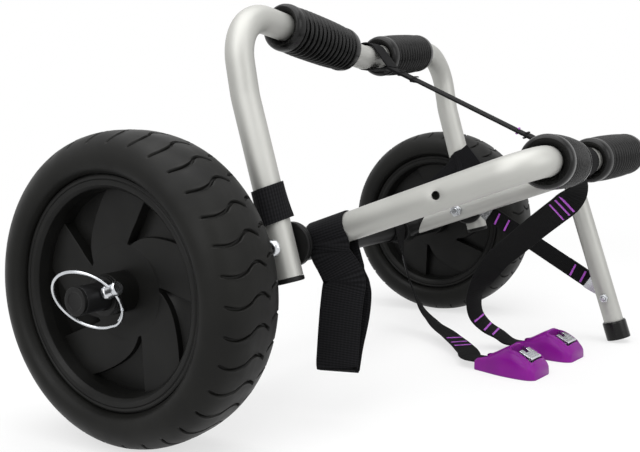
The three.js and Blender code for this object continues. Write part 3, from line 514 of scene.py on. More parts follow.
bucklePlaces = {"near": (-27, 165, 0), "far": (-110, 179, 0)}  # before the cart's own shift
buckleSizes = {
    "turn": -9, "length": 69, "mouthHeight": 9, "floor": 6, "windowStart": 41, "windowLength": 23,
    "windowWidth": 26, "camPlace": 11, "camHeight": 9, "camRadius": 5, "plate": 2,
}


def buckleMatrix(name):
    place = Vector(bucklePlaces[name]) + Vector((0, axlePlace.y, 0))
    return turnedFrame(place, buckleSizes["turn"], "Z")


def acrossAt(twist, share):
    for (start, first), (end, second) in zip(twist, twist[1:]):
        if share <= end:
            return Vector(first).lerp(Vector(second), (share - start) / (end - start))
    return Vector(twist[-1][1])


def strapPath(strap):
    shift = Vector((0, axlePlace.y, 0))
    route = [Vector(p) + shift for p in strap["route"]]
    for distance in (-strapSizes["lead"], strapSizes["intoMouth"]):
        route.append(buckleMatrix(strap["buckle"]) @ Vector((0, distance, buckleSizes["mouthHeight"])))
    path = centripetal(route, strapSizes["steps"])
    across = [acrossAt(strap["twist"], i / strapSizes["steps"]) for i in range(len(path))]
    return path, across


# A bar tack: thread laid in a tight ridge, with one low ring and one high ring for each thread
tackSizes = {"width": 2.3, "height": 0.6, "thread": 0.8, "length": 21, "slant": 14, "sunk": 0.3}
threadHeights = {"end": 0.3, "low": 0.72, "high": 1.0}


def tack(middle, direction, normal, length):
    threads = max(3, round(length / tackSizes["thread"]))
    wide = direction.cross(normal).normalized()
    rings = []
    for i in range(2 * threads + 1):
        level = "end" if i in (0, 2 * threads) else "high" if i % 2 else "low"
        here = middle + direction * (length * (i / (2 * threads) - 0.5))
        half, high, sunk = tackSizes["width"] / 2, tackSizes["height"] * threadHeights[level], tackSizes["sunk"]
        section = [(-half, -sunk), (-half * 0.9, high * 0.5), (-half * 0.4, high), (half * 0.4, high),
                   (half * 0.9, high * 0.5), (half, -sunk)]
        rings.append([here + wide * a + normal * b for a, b in section])
    return loft(rings)


def tacksOn(path, across, places, thickness, slant=tackSizes["slant"], length=tackSizes["length"]):
    shapes = []  # on both faces of a strap
    turn = math.radians(slant)
    for place in places:
        i = min(max(round(place * (len(path) - 1)), 1), len(path) - 2)
        tangent, wide, normal = webbingAt(path, across, i)
        direction = (wide * math.cos(turn) + tangent * math.sin(turn)).normalized()
        for face in (1, -1):
            middle = path[i] + normal * (face * thickness / 2)
            shapes.append(tack(middle, direction, normal * face, length))
    return joined(*shapes)


def makeTieStraps():
    for node, strap in tieStraps.items():
        path, across = strapPath(strap)
        flat = strip(path, across, strapSizes["width"], strapSizes["thickness"])
        piece = dress(node, flat)
        stitches = tacksOn(path, across, strap["tacks"], strapSizes["thickness"])
        sewn = addOn(camel(node) + "Stitches", stitches, finishes["thread"], "front_frame")


# Cam buckles: a soft cover lofted from cross-sections (place along, half width, height of the
# side's edge, height of the crown), with a mouth and a window cut in it
coverStations = [
    (0.0, 14.6, 9.6, 13.0), (3.0, 15.2, 11.4, 14.4), (9.0, 16.4, 12.6, 15.8), (17.0, 18.2, 14.4, 18.8),
    (26.0, 20.2, 16.6, 23.8), (34.0, 21.4, 18.0, 28.0), (40.0, 21.9, 18.4, 29.8), (45.0, 22.2, 18.0, 29.8),
    (51.0, 22.3, 16.6, 27.4), (57.0, 22.0, 14.8, 23.8), (62.0, 21.2, 12.8, 20.0), (66.0, 19.4, 10.4, 15.8),
    (68.2, 17.2, 8.4, 12.2), (69.0, 15.4, 7.2, 10.6),
]
crownShares = (1.0, 0.985, 0.96, 0.92, 0.87, 0.8, 0.72, 0.63, 0.53, 0.42, 0.3, 0.18, 0.08)


def coverStation(place):  # a smooth curve through the stations
    count = len(coverStations)
    i = max(k for k in range(count - 1) if coverStations[k][0] <= place or k == 0)
    spots = [Vector(coverStations[min(max(k, 0), count - 1)][1:]) for k in (i - 1, i, i + 1, i + 2)]
    start, end = coverStations[i][0], coverStations[i + 1][0]
    t = (place - start) / (end - start)
    p0, p1, p2, p3 = spots
    blend = (p2 - p0) * (t / 2) + (2 * p0 - 5 * p1 + 4 * p2 - p3) * (t * t / 2)
    return p1 + blend + (3 * p1 - p0 - 3 * p2 + p3) * (t ** 3 / 2)


def coverTop(across, place):  # height of the cover's top at a place on it
    half, edge, crown = coverStation(place)
    share = min(1.0, abs(across) / (half * 0.95))
    return edge + (crown - edge) * (1 - share ** 2.6) ** 0.8


def coverRing(place):
    half, edge, crown = coverStation(place)
    side = [(half - 1.6, 0.0), (half - 0.5, 0.5), (half, 1.7), (half * 0.998, edge * 0.3), (half * 0.99, edge * 0.6),
            (half * 0.98, edge * 0.85)]
    side += [(half * 0.95 * share, coverTop(half * 0.95 * share, place)) for share in crownShares]
    ring = side + [(0.0, crown)] + [(-x, z) for x, z in reversed(side)]
    return [Vector((x, place, z)) for x, z in ring]


def coverShape():
    length, steps = buckleSizes["length"], 80
    return loft([coverRing(length * i / steps) for i in range(steps + 1)])


# The window's raised bead, which rises and falls with the cover's top
lipSizes = {
    "away": 2.6, "farShare": 0.4, "corner": 6, "steps": 120, "last": 68.5,
    "section": ((-1.5, -0.8), (-0.9, 0.35), (-0.3, 0.8), (0.3, 0.8), (0.9, 0.35), (1.5, -0.8)),
}


def windowLip():
    away = lipSizes["away"]
    half, start = buckleSizes["windowWidth"] / 2 + away, buckleSizes["windowStart"] - away
    end = buckleSizes["windowStart"] + buckleSizes["windowLength"] + away * lipSizes["farShare"]
    outline = eased([(-half, start), (half, start), (half, end), (-half, end)], lipSizes["corner"], 8)
    path = evenly([Vector((p.x, p.y, 0)) for p in outline + outline[:1]], lipSizes["steps"])[:-1]
    rings = []
    for i, here in enumerate(path):
        outward = (path[(i + 1) % len(path)] - path[i - 1]).normalized().cross(zAxis)
        section = []
        for a, b in lipSizes["section"]:
            spot = here + outward * a
            section.append(Vector((spot.x, spot.y, coverTop(spot.x, min(spot.y, lipSizes["last"])) + b)))
        rings.append(section)
    return loft(rings, closed=True)


camSizes = {"facets": 40, "tooth": 0.2, "teethEnd": 1.8 * math.pi}


def teeth(width):  # the cam: a drum whose underside grips with rows of teeth
    outline = []
    for i in range(camSizes["facets"]):
        angle = fullTurn * i / camSizes["facets"]
        tooth = camSizes["tooth"] if i % 2 and math.pi < angle < camSizes["teethEnd"] else 0.0
        radius = buckleSizes["camRadius"] - camSizes["tooth"] + tooth
        outline.append((radius * math.cos(angle), radius * math.sin(angle)))
    half = width / 2
    return loft([[Vector((x, y, z)) for y, z in outline] for x in (-half, half)])


# The lever's flap slopes down towards the wide end, with a slot, two folds across it and a bright
# lip. Its own place is on its slope, with Y down the slope.
leverSizes = {
    "start": -3.6, "length": 14.6, "thick": 1.6, "slope": -27, "high": 8.2, "slotHalf": 3.6, "slotEnd": 5.0,
    "folds": (1.0, 3.6), "foldIn": 0.6, "foldWide": 1.3, "foldHigh": 0.8, "lipRadius": 1.5, "lipIn": 0.6,
    "lipHigh": 0.9, "armIn": 1.2, "armHalf": 3.2, "armOver": 0.6, "pinOut": 0.5, "pinRadius": 1.6,
}


def leverShape(width):
    size = leverSizes
    start, thick, half = size["start"], size["thick"], width / 2
    end, slot, slotEnd = start + size["length"], size["slotHalf"], start + size["slotEnd"]
    flap = [
        solidBox((-half, start, 0), (-slot, slotEnd + 0.1, thick), 0.8),
        solidBox((slot, start, 0), (half, slotEnd + 0.1, thick), 0.8),
        solidBox((-half, slotEnd, 0), (half, end, thick), 0.8),
    ]
    for away in size["folds"]:
        side, y = half - size["foldIn"], slotEnd + away
        flap.append(solidBox((-side, y, thick - 0.2), (side, y + size["foldWide"], thick + size["foldHigh"]), 0.5))
    lip = pipe(0, size["lipRadius"], -half, half, 0.4, 20)
    flap.append(placed(lip, Matrix.Translation((0, end - size["lipIn"], size["lipHigh"]))))
    sloped = turnedFrame((0, 0, size["high"]), size["slope"])
    arms, armHalf, armTop = [], size["armHalf"], size["high"] + size["armOver"]
    for x in (-half + size["armIn"], half - size["armIn"]):
        arms.append(solidBox((x - thick / 2, -armHalf, 0), (x + thick / 2, armHalf, armTop), 0.5))
    pin = pipe(0, size["pinRadius"], -half - size["pinOut"], half + size["pinOut"], 0.3, 20)
    return joined(teeth(width), placed(joined(*flap), sloped), *arms, pin)


# The cam's channel: a base, an ear on each side that is higher near the mouth, and a cross bar
plateSizes = {
    "edge": 0.4, "foot": 0.1, "high": 19.6, "highEnd": 3.0, "low": 9.0, "ease": 1.6,
    "barIn": 1, "barStart": 2.4, "barEnd": 0.6, "barTop": 7.5,
}


def plateShape():
    size, thick = plateSizes, buckleSizes["plate"]
    half, long = buckleSizes["windowWidth"] / 2 - gap, buckleSizes["windowLength"] - 2 * gap
    edge, foot, high = size["edge"], size["foot"], size["high"]
    base = solidBox((-half, 0, 0), (half, long, thick), 0.6)
    corners = [(edge, foot), (long - edge, foot), (long - edge, size["low"]), (size["highEnd"], high), (edge, high)]
    outline = eased(corners, size["ease"], 5)
    ears = []
    for sign in (1, -1):
        low, high = sorted((sign * half, sign * (half - thick)))
        ears.append(loft([[Vector((x, p.x, p.y)) for p in outline] for x in (low, high)]))
    side = half - size["barIn"]
    bar = solidBox((-side, long - size["barStart"], thick), (side, long - size["barEnd"], size["barTop"]), 0.5)
    return joined(base, *ears, bar)


# What is cut out of a cover: the window, the mouth's throat and the slit that the strap goes through
cutSizes = {
    "above": 40, "windowEase": 2.2, "before": -3, "low": 7.4, "side": 0.7, "throatIn": 1.5, "throatEnd": 15,
    "throatEase": 2.0, "slitTop": 11.0, "slitPast": 2, "slitEase": 0.4,
}


def makeBuckle(name):
    matrix, size = buckleMatrix(name), cutSizes
    start, half, floor = buckleSizes["windowStart"], buckleSizes["windowWidth"] / 2, buckleSizes["floor"]
    above, before, low = size["above"], size["before"], size["low"]
    mouth = strapSizes["width"] / 2 + size["side"]
    throat = mouth - size["throatIn"]
    cover = carved(
        coverShape(),
        solidBox((-half, start, floor), (half, start + buckleSizes["windowLength"], above), size["windowEase"]),
        solidBox((-throat, before, low), (throat, size["throatEnd"], above), size["throatEase"]),
        solidBox((-mouth, before, low), (mouth, start + size["slitPast"], size["slitTop"]), size["slitEase"]),
    )
    dress(f"buckle_cover_{name}", cover, matrix, 32)
    addOn(f"buckleLip{name.capitalize()}", windowLip(), finishes["purple_silicone"], "front_frame",
          matrix)
    plate = matrix @ Matrix.Translation((0, start + gap, floor + gap))
    dress(f"cam_plate_{name}", plateShape(), plate)
    width = buckleSizes["windowWidth"] - 2 * (buckleSizes["plate"] + 2 * gap)
    lever = matrix @ Matrix.Translation((0, start + buckleSizes["camPlace"], floor + gap + buckleSizes["camHeight"]))
    dress(f"cam_lever_{name}", leverShape(width), lever)


makeCamera()
makeBuckle("near")
makeBuckle("far")
makeTieStraps()
print("camera, buckles and tie straps made")


# Tyres: the outline is (along the axle, radius) from the crown down to the rim's lip; the tread's
# wavy grooves repeat round it
tyreSizes = {
    "half": [(0, 127), (12, 126.5), (21, 124.6), (28, 121.4), (34, 116.0), (37.8, 109.5), (38.9, 104.0),
             (38.2, 99.6), (36.0, 96.6), (33.0, 94.9), (30.4, 93.9)],
    "seat": [(26.6, 93.9), (26.6, 86.2)],
    "pitches": 34,
    "offsets": (-8, -4.5, -2.4, -1.8, -1.3, -0.65, 0, 0.65, 1.3, 1.8, 2.4, 4.5, 8, 11.7),
    "groove": ((0.0, 2.6), (0.65, 2.5), (1.3, 0.25), (1.8, -0.12), (2.4, 0.05), (4.5, 0.0)),
    "shoulder": 34,
    "longEnd": 10,
    "shortStart": 13,
    "dip": 2.6,
    "hump": 5.4,
    "aside": 6.5,
    "shortBow": 3.2,
    "fade": 1.2,
}


def waveLine(w):  # how far round the grooves lie at a place across, from one shoulder to the other
    size = tyreSizes
    shoulder, longEnd, shortStart = size["shoulder"], size["longEnd"], size["shortStart"]
    w = max(-shoulder, min(shoulder, w))
    if w <= longEnd:
        turn = fullTurn * (w + shoulder) / (longEnd + shoulder)
        return (size["dip"] if turn < math.pi else size["hump"]) * -math.sin(turn)
    share = min(1.0, (w - longEnd) / (shortStart - longEnd))
    bow = math.sin(math.pi * max(0.0, w - shortStart) / (shoulder - shortStart))
    return size["aside"] * share * share * (3 - 2 * share) + size["shortBow"] * bow


def grooveDrop(w, offset):  # how deep the tread lies at a distance round from the grooves' line
    size = tyreSizes
    slope = (waveLine(w + 0.2) - waveLine(w - 0.2)) / 0.4
    distance = abs(offset) / max(1.0, min(1.6, math.hypot(1, slope)))
    ends = clamped((size["shoulder"] + 1.5 - abs(w)) / 3)
    if w > (size["longEnd"] + size["shortStart"]) / 2:
        ends *= clamped((w - size["shortStart"]) / size["fade"])
    else:
        ends *= clamped((size["longEnd"] - w) / size["fade"])
    for (near, first), (far, last) in zip(size["groove"], size["groove"][1:]):
        if distance <= far:
            return (first + (last - first) * (distance - near) / (far - near)) * ends
    return 0.0


def tyreShape():
    halfPath = centripetal([Vector((a, r, 0)) for a, r in tyreSizes["half"]], 44)
    outerSide = [(p.x, p.y) for p in halfPath]
    innerSide = [(-a, r) for a, r in reversed(outerSide)][:-1]
    surface = innerSide + outerSide
    lengths = [0.0]
    for (a0, r0), (a1, r1) in zip(surface, surface[1:]):
        lengths.append(lengths[-1] + math.hypot(a1 - a0, r1 - r0))
    middle = lengths[len(innerSide)]
    seat = tyreSizes["seat"]
    crown = tyreSizes["half"][0][1]
    pitch = fullTurn * crown / tyreSizes["pitches"]
    rings = []
    for k in range(tyreSizes["pitches"]):
        for offset in tyreSizes["offsets"]:
            ring = []
            for (a, r), reach in zip(surface, lengths):
                w = middle - reach
                angle = (k * pitch + offset + waveLine(w)) / crown
                ring.append((a, r - grooveDrop(w, offset), angle))
            ends = ring[-1][2], ring[0][2]
            ring += [(a, r, ends[0]) for a, r in seat] + [(-a, r, ends[1]) for a, r in reversed(seat)]
            rings.append([Vector((a, r * math.cos(angle), r * math.sin(angle))) for a, r, angle in ring])
    return loft(rings, closed=True)


# Rims: barrel with a double lip, and a disc whose five wedge-shaped pockets leave curved spokes.
# The disc is low and the hub a little slimmer than the solid's, so that the pins' rings swing clear.
# Each pocket's edges are (radius, degrees of the far edge, degrees of the near edge) round from
# the way its point faces.
rimSizes = {
    "lip": 93.4, "barrel": 85.7, "wall": 4, "halfWidth": 30, "lipWidth": 3, "hub": 16.4, "hubHalf": 31,
    "bore": 13.9, "pockets": 5, "pointsAt": 7, "hubTop": 11.4, "edgeTop": 14, "deep": 9, "shallow": 5,
    "pocketStart": 38, "pocketEase": 2.0, "edge": 1.0, "bead": 0.2, "dome": 0.5,
    "radii": (20, 25, 30, 34, 36, 37.5, 38, 38.7, 40, 42, 45, 48, 51, 55, 59, 63, 67, 71, 75, 79),
    "edges": ((16, -5, 5), (36, -4, 3), (38, -4.5, 1.5), (41, -8, 0), (44, -12, -1.5), (48, -17, -3),
              (53, -24, -5), (59, -32, -7), (64, -38, -8), (70, -44, -9.3), (76, -49, -10.2), (82.2, -54, -11)),
}


def pocketEdges(r):
    edges = rimSizes["edges"]
    for (r0, far0, near0), (r1, far1, near1) in zip(edges, edges[1:]):
        if r <= r1:
            share = (r - r0) / (r1 - r0)
            return far0 + (far1 - far0) * share, near0 + (near1 - near0) * share
    return edges[-1][1:]


def pocketFace(r):  # (degrees, how far below the disc's face) across one pocket and one spoke
    size = rimSizes
    far, near = pocketEdges(r)
    edge = min(math.degrees(size["edge"] / r), (near - far) * 0.25)
    deep, bead = clamped((r - size["pocketStart"]) / size["pocketEase"]), size["bead"]
    face = [(far, 0.0), (far + edge * 0.3, bead * deep), (far + edge, size["shallow"] * deep)]
    for share in (0.25, 0.5, 0.75):
        depth = size["shallow"] + (size["deep"] - size["shallow"]) * share
        face.append((far + edge + (near - far - 2 * edge) * share, depth * deep))
    face += [(near - edge, size["deep"] * deep), (near - edge * 0.3, bead * deep), (near, 0.0)]
    spoke = 360 / size["pockets"] + far - near
    for share in (0.12, 0.35, 0.65, 0.88):  # the spoke's face is slightly domed
        face.append((near + spoke * share, -size["dome"] * deep * math.sin(math.pi * share)))
    return face


def rimDisc():
    size = rimSizes
    inner, outer = size["hub"] - 1, size["barrel"] - size["wall"] + 0.5
    radii = [inner, *size["radii"], outer]
    faces = [pocketFace(r) for r in radii]
    rings = []
    for pocket in range(size["pockets"]):
        for k in range(len(faces[0])):
            face = []
            for r, row in zip(radii, faces):
                turn, drop = row[k]
                angle = math.radians(turn + size["pointsAt"] + 360 * pocket / size["pockets"])
                top = size["hubTop"] + (size["edgeTop"] - size["hubTop"]) * (r - inner) / (outer - inner)
                face.append((top - drop, r * math.cos(angle), r * math.sin(angle)))
            back = [(-x, y, z) for x, y, z in reversed(face)]
            rings.append([Vector(p) for p in face + back])
    return loft(rings, closed=True)


def rimBarrel():
    size = rimSizes
    half, lip, barrel = size["halfWidth"], size["lip"], size["barrel"]
    well = barrel - size["wall"]
    outer = [(half - size["lipWidth"], barrel), (half - size["lipWidth"], lip - 0.6), (half - 0.6, lip - 0.2),
             (half, lip - 2.4), (half - 0.9, lip - 3.6), (half, lip - 4.6), (half - 0.4, barrel - 0.5),
             (half - 3.5, well + 0.6), (half - 12, well - 0.8)]
    profile = outer + [(-a, r) for a, r in reversed(outer)]
    return turnedSoft(profile, 0.7, 96)


def rimHub():
    size = rimSizes
    return pipe(size["bore"], size["hub"], -size["hubHalf"], size["hubHalf"], 1.0)


bushProfile = [(15, 11.3), (15, 13.5), (31.3, 13.5), (31.3, 16), (33.3, 16), (33.3, 11.3)]


def makeWheels():
    tyre, disc = tyreShape(), joined(rimBarrel(), rimDisc(), rimHub())
    for side in sides:
        matrix = axleEnd(side) @ Matrix.Translation((halfTrack, 0, 0))
        dress(f"tyre_{side}", tyre, matrix, 50)
        dress(f"rim_{side}", disc, matrix, 24)
        for name, turn in (("outer", 0), ("inner", 180)):
            place = matrix @ rotation(turn, "Z")
            dress(f"{name}_bushing_{side}", turnedSoft(bushProfile, 0.4), place)


makeWheels()
print("wheels made")


# Axle, its ends and the locking pins
axleSizes = {
    "radius": 11, "wall": 2, "half": 366, "pinPlace": 348.4, "pinTurnUp": 20, "pinSpin": 34,
    "pinRadius": 3.1, "pinTail": 15, "headStart": 12, "headLength": 14, "headRadius": 5.5, "drillHalf": 30,
    "ringRadius": 29, "wire": 1.35, "ringStart": -232, "ringTurn": 392, "aside": 0.75, "apart": 0.55,
    "cap": [(354, 0), (354, 8.7), (366.3, 8.7), (366.3, 11), (369.2, 11), (369.2, 7.4), (368.7, 7), (368.7, 0)],
    "sleeve": (11.3, 14, 194.4, 273.9, 0.8),
    "washer": (11.3, 15.5, 341.1, 342.6, 0.3),
}


def pinMatrix(side):
    size = axleSizes
    place = axleEnd(side) @ Matrix.Translation((size["pinPlace"], 0, 0))
    return place @ rotation(size["pinTurnUp"], "X")


def pinShape():  # along its own X
    size = axleSizes
    start = size["headStart"]
    end = start + size["headLength"]
    head, pin = size["headRadius"], size["pinRadius"]
    profile = [(-size["pinTail"], 0), (-size["pinTail"], pin - 1), (-size["pinTail"] + 1.5, pin), (start, pin),
               (start, head), (start + 3, head), (start + 3.6, head - 0.6), (end - 4.2, head - 0.6),
               (end - 3.6, head), (end - 1, head), (end, head - 1), (end, 0)]
    return turnedSoft(profile, 0.35, 40)


def ringShape():  # a wire ring whose ends pass each other
    size = axleSizes
    steps, lap, path = 96, 12, []
    for i in range(steps + 1):
        angle = math.radians(size["ringStart"] + size["ringTurn"] * i / steps)
        end = 1 if i < lap else -1 if i > steps - lap else 0
        radius = size["ringRadius"] + size["apart"] * end
        path.append(Vector((size["aside"] * end, radius * math.sin(angle), radius * math.cos(angle))))
    smooth = [path[0]] + [(a + b * 2 + c) / 4 for a, b, c in zip(path, path[1:], path[2:])] + [path[-1]]
    return loft(ringsAlong(smooth, circle(size["wire"], 12), xAxis))


def makeAxle():
    size = axleSizes
    tube = pipe(size["radius"] - size["wall"], size["radius"], -size["half"], size["half"])
    drills = []
    for side in sides:
        across = pinMatrix(side) @ rotation(90, "Z")
        hole = drill(size["pinRadius"] + gap, size["drillHalf"], 24)
        drills.append(placed(hole, axleMatrix.inverted() @ across))
    dress("axle_tube", carved(tube, *drills), axleMatrix)
    for side in sides:
        end = axleEnd(side)
        dress(f"axle_cap_{side}", turnedSoft(size["cap"], 0.5), end)
        dress(f"axle_sleeve_{side}", pipe(*size["sleeve"]), end)
        dress(f"wheel_washer_{side}", pipe(*size["washer"]), end)
        pin = pinMatrix(side) @ rotation(90, "Z")
        dress(f"locking_pin_{side}", pinShape(), pin)
        spun = pinMatrix(side) @ rotation(size["pinSpin"], "Y")
        reach = size["headStart"] + size["headLength"] / 2 - size["ringRadius"]
        dress(f"pin_ring_{side}", ringShape(), spun @ Matrix.Translation((0, reach, 0)))


makeAxle()
print("axle and pins made")


# Frames: bent tubes, each drawn in its own place with its legs along Y
tubeSizes = {"radius": 12.5, "wall": 1.5, "barBend": 60, "sides": 56}
frames = {
    "front": {"matrix": frontMatrix, "legHalf": 179.1, "reach": 217, "tail": 62.9, "bend": 28, "forward": 0},
    "rear": {"matrix": rearMatrix, "legHalf": 217.2, "reach": 206, "tail": 27, "bend": 42, "forward": 8},
}
rearKnee = {"drop": 75, "bend": 80}
standHole = {"reach": 135.9, "radius": 3.6, "dimple": 1.0, "dimpleReach": 5.0, "near": 16, "aside": 20}
dipSlope = math.tan(math.radians(leans["barDip"]))


def framePath(size):
    half, reach, forward = size["legHalf"], size["reach"], size["forward"]
    leg = {}
    for sign in (-1, 1):
        foot = Vector((sign * half, -size["tail"], 0))
        knee = [Vector((sign * half, reach - rearKnee["drop"], 0))] if forward else []
        leg[sign] = [foot, *knee, Vector((sign * half, reach, -forward))]
    corners = [*leg[-1], Vector((0, reach - half * dipSlope, -forward)), *reversed(leg[1])]
    bends = [0, rearKnee["bend"], size["bend"]] if forward else [0, size["bend"]]
    return bentPath(corners, [*bends, tubeSizes["barBend"], *reversed(bends)])


def barPlace(frameName, x):
    size = frames[frameName]
    return Vector((x, size["reach"] - (size["legHalf"] - abs(x)) * dipSlope, -size["forward"]))


def filled(path, near, reach, step):  # more stations near a place
    result = [path[0]]
    for a, b in zip(path, path[1:]):
        count = max(1, round((b - a).length / step))
        for k in range(1, count):
            between = a.lerp(b, k / count)
            if (between - near).length < reach:
                result.append(between)
        result.append(b)
    return result


def makeTube(frameName):
    size = frames[frameName]
    path = framePath(size)
    hole = Vector((size["legHalf"], standHole["reach"], 0))
    if frameName == "front":
        path = filled(path, hole, standHole["near"], 1.0)
    outside = ringsAlong(path, circle(tubeSizes["radius"], tubeSizes["sides"]), zAxis)
    inside = ringsAlong(path, circle(tubeSizes["radius"] - tubeSizes["wall"], tubeSizes["sides"]), zAxis)
    if frameName == "front":  # legs sawn off at 45 degrees, and a dimple round the hole in the right leg
        sawn = tubeSizes["radius"] - size["tail"]
        for ring in (outside[0], outside[-1], inside[0], inside[-1]):
            for point in ring:
                point.y = sawn + point.z
        for ring in outside + inside:
            for point in ring:
                flat = math.hypot(point.y - hole.y, point.z)
                if abs(point.x - hole.x) < standHole["aside"] and flat < standHole["near"]:
                    push = standHole["dimple"] * math.exp(-((flat / standHole["dimpleReach"]) ** 2))
                    point.x -= math.copysign(push, point.x - hole.x)
    shape = loft(outside + inside[::-1], closed=True)
    if frameName == "front":
        punch = drill(standHole["radius"], standHole["aside"], 32)
        shape = carved(shape, placed(punch, Matrix.Translation(hole)))
    dress(f"{frameName}_frame_tube", shape, size["matrix"], 40)


makeTube("front")
makeTube("rear")


# Bumpers: moulded sleeves with thirteen ribs between two plain collars and dished mouths
bumperSizes = {
    "middle": 92.5, "half": 56.5, "collar": 12, "radius": 22.7, "groove": 4.0, "ribs": 13, "bore": 12.85,
    "mouth": 17.8, "taper": 1.2,
    "rib": ((0.0, 1.0), (0.15, 1.0), (0.22, 0.78), (0.28, 0.36), (0.35, 0.1), (0.5, 0.0),
            (0.65, 0.1), (0.72, 0.36), (0.78, 0.78), (0.85, 1.0)),
}


def bumperShape():
    size = bumperSizes
    half, ribbed, ribs = size["half"], size["half"] - size["collar"], size["ribs"]
    pitch = 2 * ribbed / ribs

    def crest(a):
        return size["radius"] - size["taper"] * (abs(a) / ribbed) ** 3

    side = []
    for i in range(ribs):
        start = -ribbed + pitch * i
        for share, drop in size["rib"]:
            a = start + pitch * share
            side.append((a, crest(a) - size["groove"] * drop))
    collar = [(-half + 4.5, size["bore"]), (-half + 3.2, size["bore"] + 1.6), (-half + 0.6, size["mouth"] - 0.6),
              (-half, size["mouth"] + 0.6), (-half + 0.7, size["mouth"] + 1.9), (-half + 2.8, 21.2),
              (-half + 6, 21.9), (-half + 10.4, 21.9)]
    back = [(-a, r) for a, r in reversed(collar)]
    return turned(collar + side + [(ribbed, crest(ribbed) - size["groove"])] + back, 64)


def makeBumpers():
    shape = bumperShape()
    for frameName, size in frames.items():
        for side, sign in sides.items():
            place = Matrix.Translation(barPlace(frameName, sign * bumperSizes["middle"]))
            turn = rotation(sign * leans["barDip"], "Z")
            dress(f"{frameName}_bumper_{side}", shape, size["matrix"] @ place @ turn, 50)


makeBumpers()
print("frames and bumpers made")


# Fittings on the frames
carrierSizes = {
    "down": -86.4,
    "collar": (11.3, 17, -15, 15, 1.2, 48),
    "plug": (0, 9.8, 14, 62, 0.8, 40),
    "neck": [(12, 0), (12, 13.5), (18, 11.8), (30, 9.9), (30, 0)],
}


def makeCarriers():
    size = carrierSizes
    for side, sign in sides.items():
        place = frontMatrix @ Matrix.Translation((sign * frames["front"]["legHalf"], size["down"], 0))
        inLeg = joined(pipe(*size["plug"]), turnedSoft(size["neck"], 1.0, 40))
        shape = joined(pipe(*size["collar"]), placed(inLeg, rotation(90, "Z")))
        dress(f"axle_carrier_{side}", shape, place)


# Bolts and nuts lie along their own X, with the place of a bolt's tail, of the face under its head
# and of a nut's face towards that head
boltSizes = {
    "pivot": {"tail": 157.3, "radius": 4, "face": 230.0, "headRadius": 7.5, "headHigh": 5.3},
    "stand": {"tail": 159.3, "radius": 3, "face": 214.5, "headRadius": 6, "headHigh": 3.9},
    "tab": {"tail": -6, "radius": 2.5, "face": 1.8, "headRadius": 5, "headHigh": 1.9},
    "strap": {"tail": -29.9, "radius": 2.5, "face": 1.8, "headRadius": 5, "headHigh": 1.9},
}
nutSizes = {
    "pivot": {"face": 166.3, "thickness": 5.8, "radius": 7.5, "bore": 4.4},
    "stand": {"face": 166.3, "thickness": 4.8, "radius": 6, "bore": 3.4},
    "strap": {"face": -22.6, "thickness": 4.8, "radius": 5, "bore": 2.9},
}


def domedBolt(tail, radius, face, headRadius, headHigh):
    profile = [(tail, 0), (tail, radius - 0.6), (tail + 0.8, radius), (face, radius), (face, headRadius)]
    for i in range(9):
        angle = math.radians(12 + 66 * i / 8)
        profile.append((face + headHigh * math.sin(angle), headRadius * math.cos(angle)))
    profile += [(face + headHigh, 2.6), (face + headHigh * 0.45, 2.4), (face + headHigh * 0.45, 0)]
    return turned(profile, 40)


def hexNut(face, thickness, radius, bore):
    flats = pipe(bore, radius, face - thickness, face, 0.5, 6)
    collar = pipe(bore, radius * 0.74, face - thickness - 1.2, face - thickness + 0.3, 0.5, 32)
    return joined(flats, collar)


pivotDisc = [
    (191.9, 4.3), (191.9, 9.5), (196.4, 9.5), (196.4, 17.8), (198.2, 19.4), (200.4, 19.4), (200.7, 18.7),
    (201.2, 18.7), (201.5, 19.4), (203.4, 19.4), (204.4, 18.2), (204.4, 4.3),
]
rearCap = [(15, 0), (15, 9.8), (-0.3, 9.8), (-0.3, 12.9), (-3.6, 12.9), (-4.3, 12.0), (-4.3, 0)]


def makePivots():
    for side, sign in sides.items():
        place = frontMatrix @ rotation(0 if sign > 0 else 180, "Z")
        dress(f"pivot_bolt_{side}", domedBolt(**boltSizes["pivot"]), place)
        dress(f"pivot_nut_{side}", hexNut(**nutSizes["pivot"]), place)
        dress(f"pivot_disc_{side}", turnedSoft(pivotDisc, 0.35, 72), place)


def makeRearCaps():
    size = frames["rear"]
    for side, sign in sides.items():
        place = rearMatrix @ Matrix.Translation((sign * size["legHalf"], -size["tail"], 0))
        upright = place @ rotation(90, "Z")
        dress(f"rear_end_cap_{side}", turnedSoft(rearCap, 0.5), upright)


makeCarriers()
makePivots()
makeRearCaps()


# Kickstand with its bolts, tabs and strap
standSizes = {
    "radius": 11, "wall": 1.5, "top": 16, "strapReach": 150, "footRadius": 13.4, "footLength": 21,
    "footFloor": 5, "tabBolt": (-191.9, 18, 0), "strapSide": -11.3,
}
standTurn = math.radians(leans["stand"])
standLength = (jointPlace("kickstand_fold").z - standSizes["footRadius"] * math.sin(standTurn)) / math.cos(standTurn)


def makeKickstand():
    size = standSizes
    down = standMatrix @ rotation(90, "Y")  # own +X runs down the tube
    end = standLength - size["footFloor"] - gap
    tube = pipe(size["radius"] - size["wall"], size["radius"], -size["top"], end, 0.5)
    dress("kickstand_tube", tube, down)
    bore, radius = size["radius"] + gap, size["footRadius"]
    rim = standLength - size["footLength"]
    inside = standLength - size["footFloor"]
    foot = [(rim, bore), (rim, radius - 0.6), (rim + 2, radius), (standLength - 1.2, radius),
            (standLength, radius - 0.05), (standLength, 0), (inside, 0), (inside, bore)]
    dress("kickstand_foot", turnedSoft(foot, 0.35, 48), down)


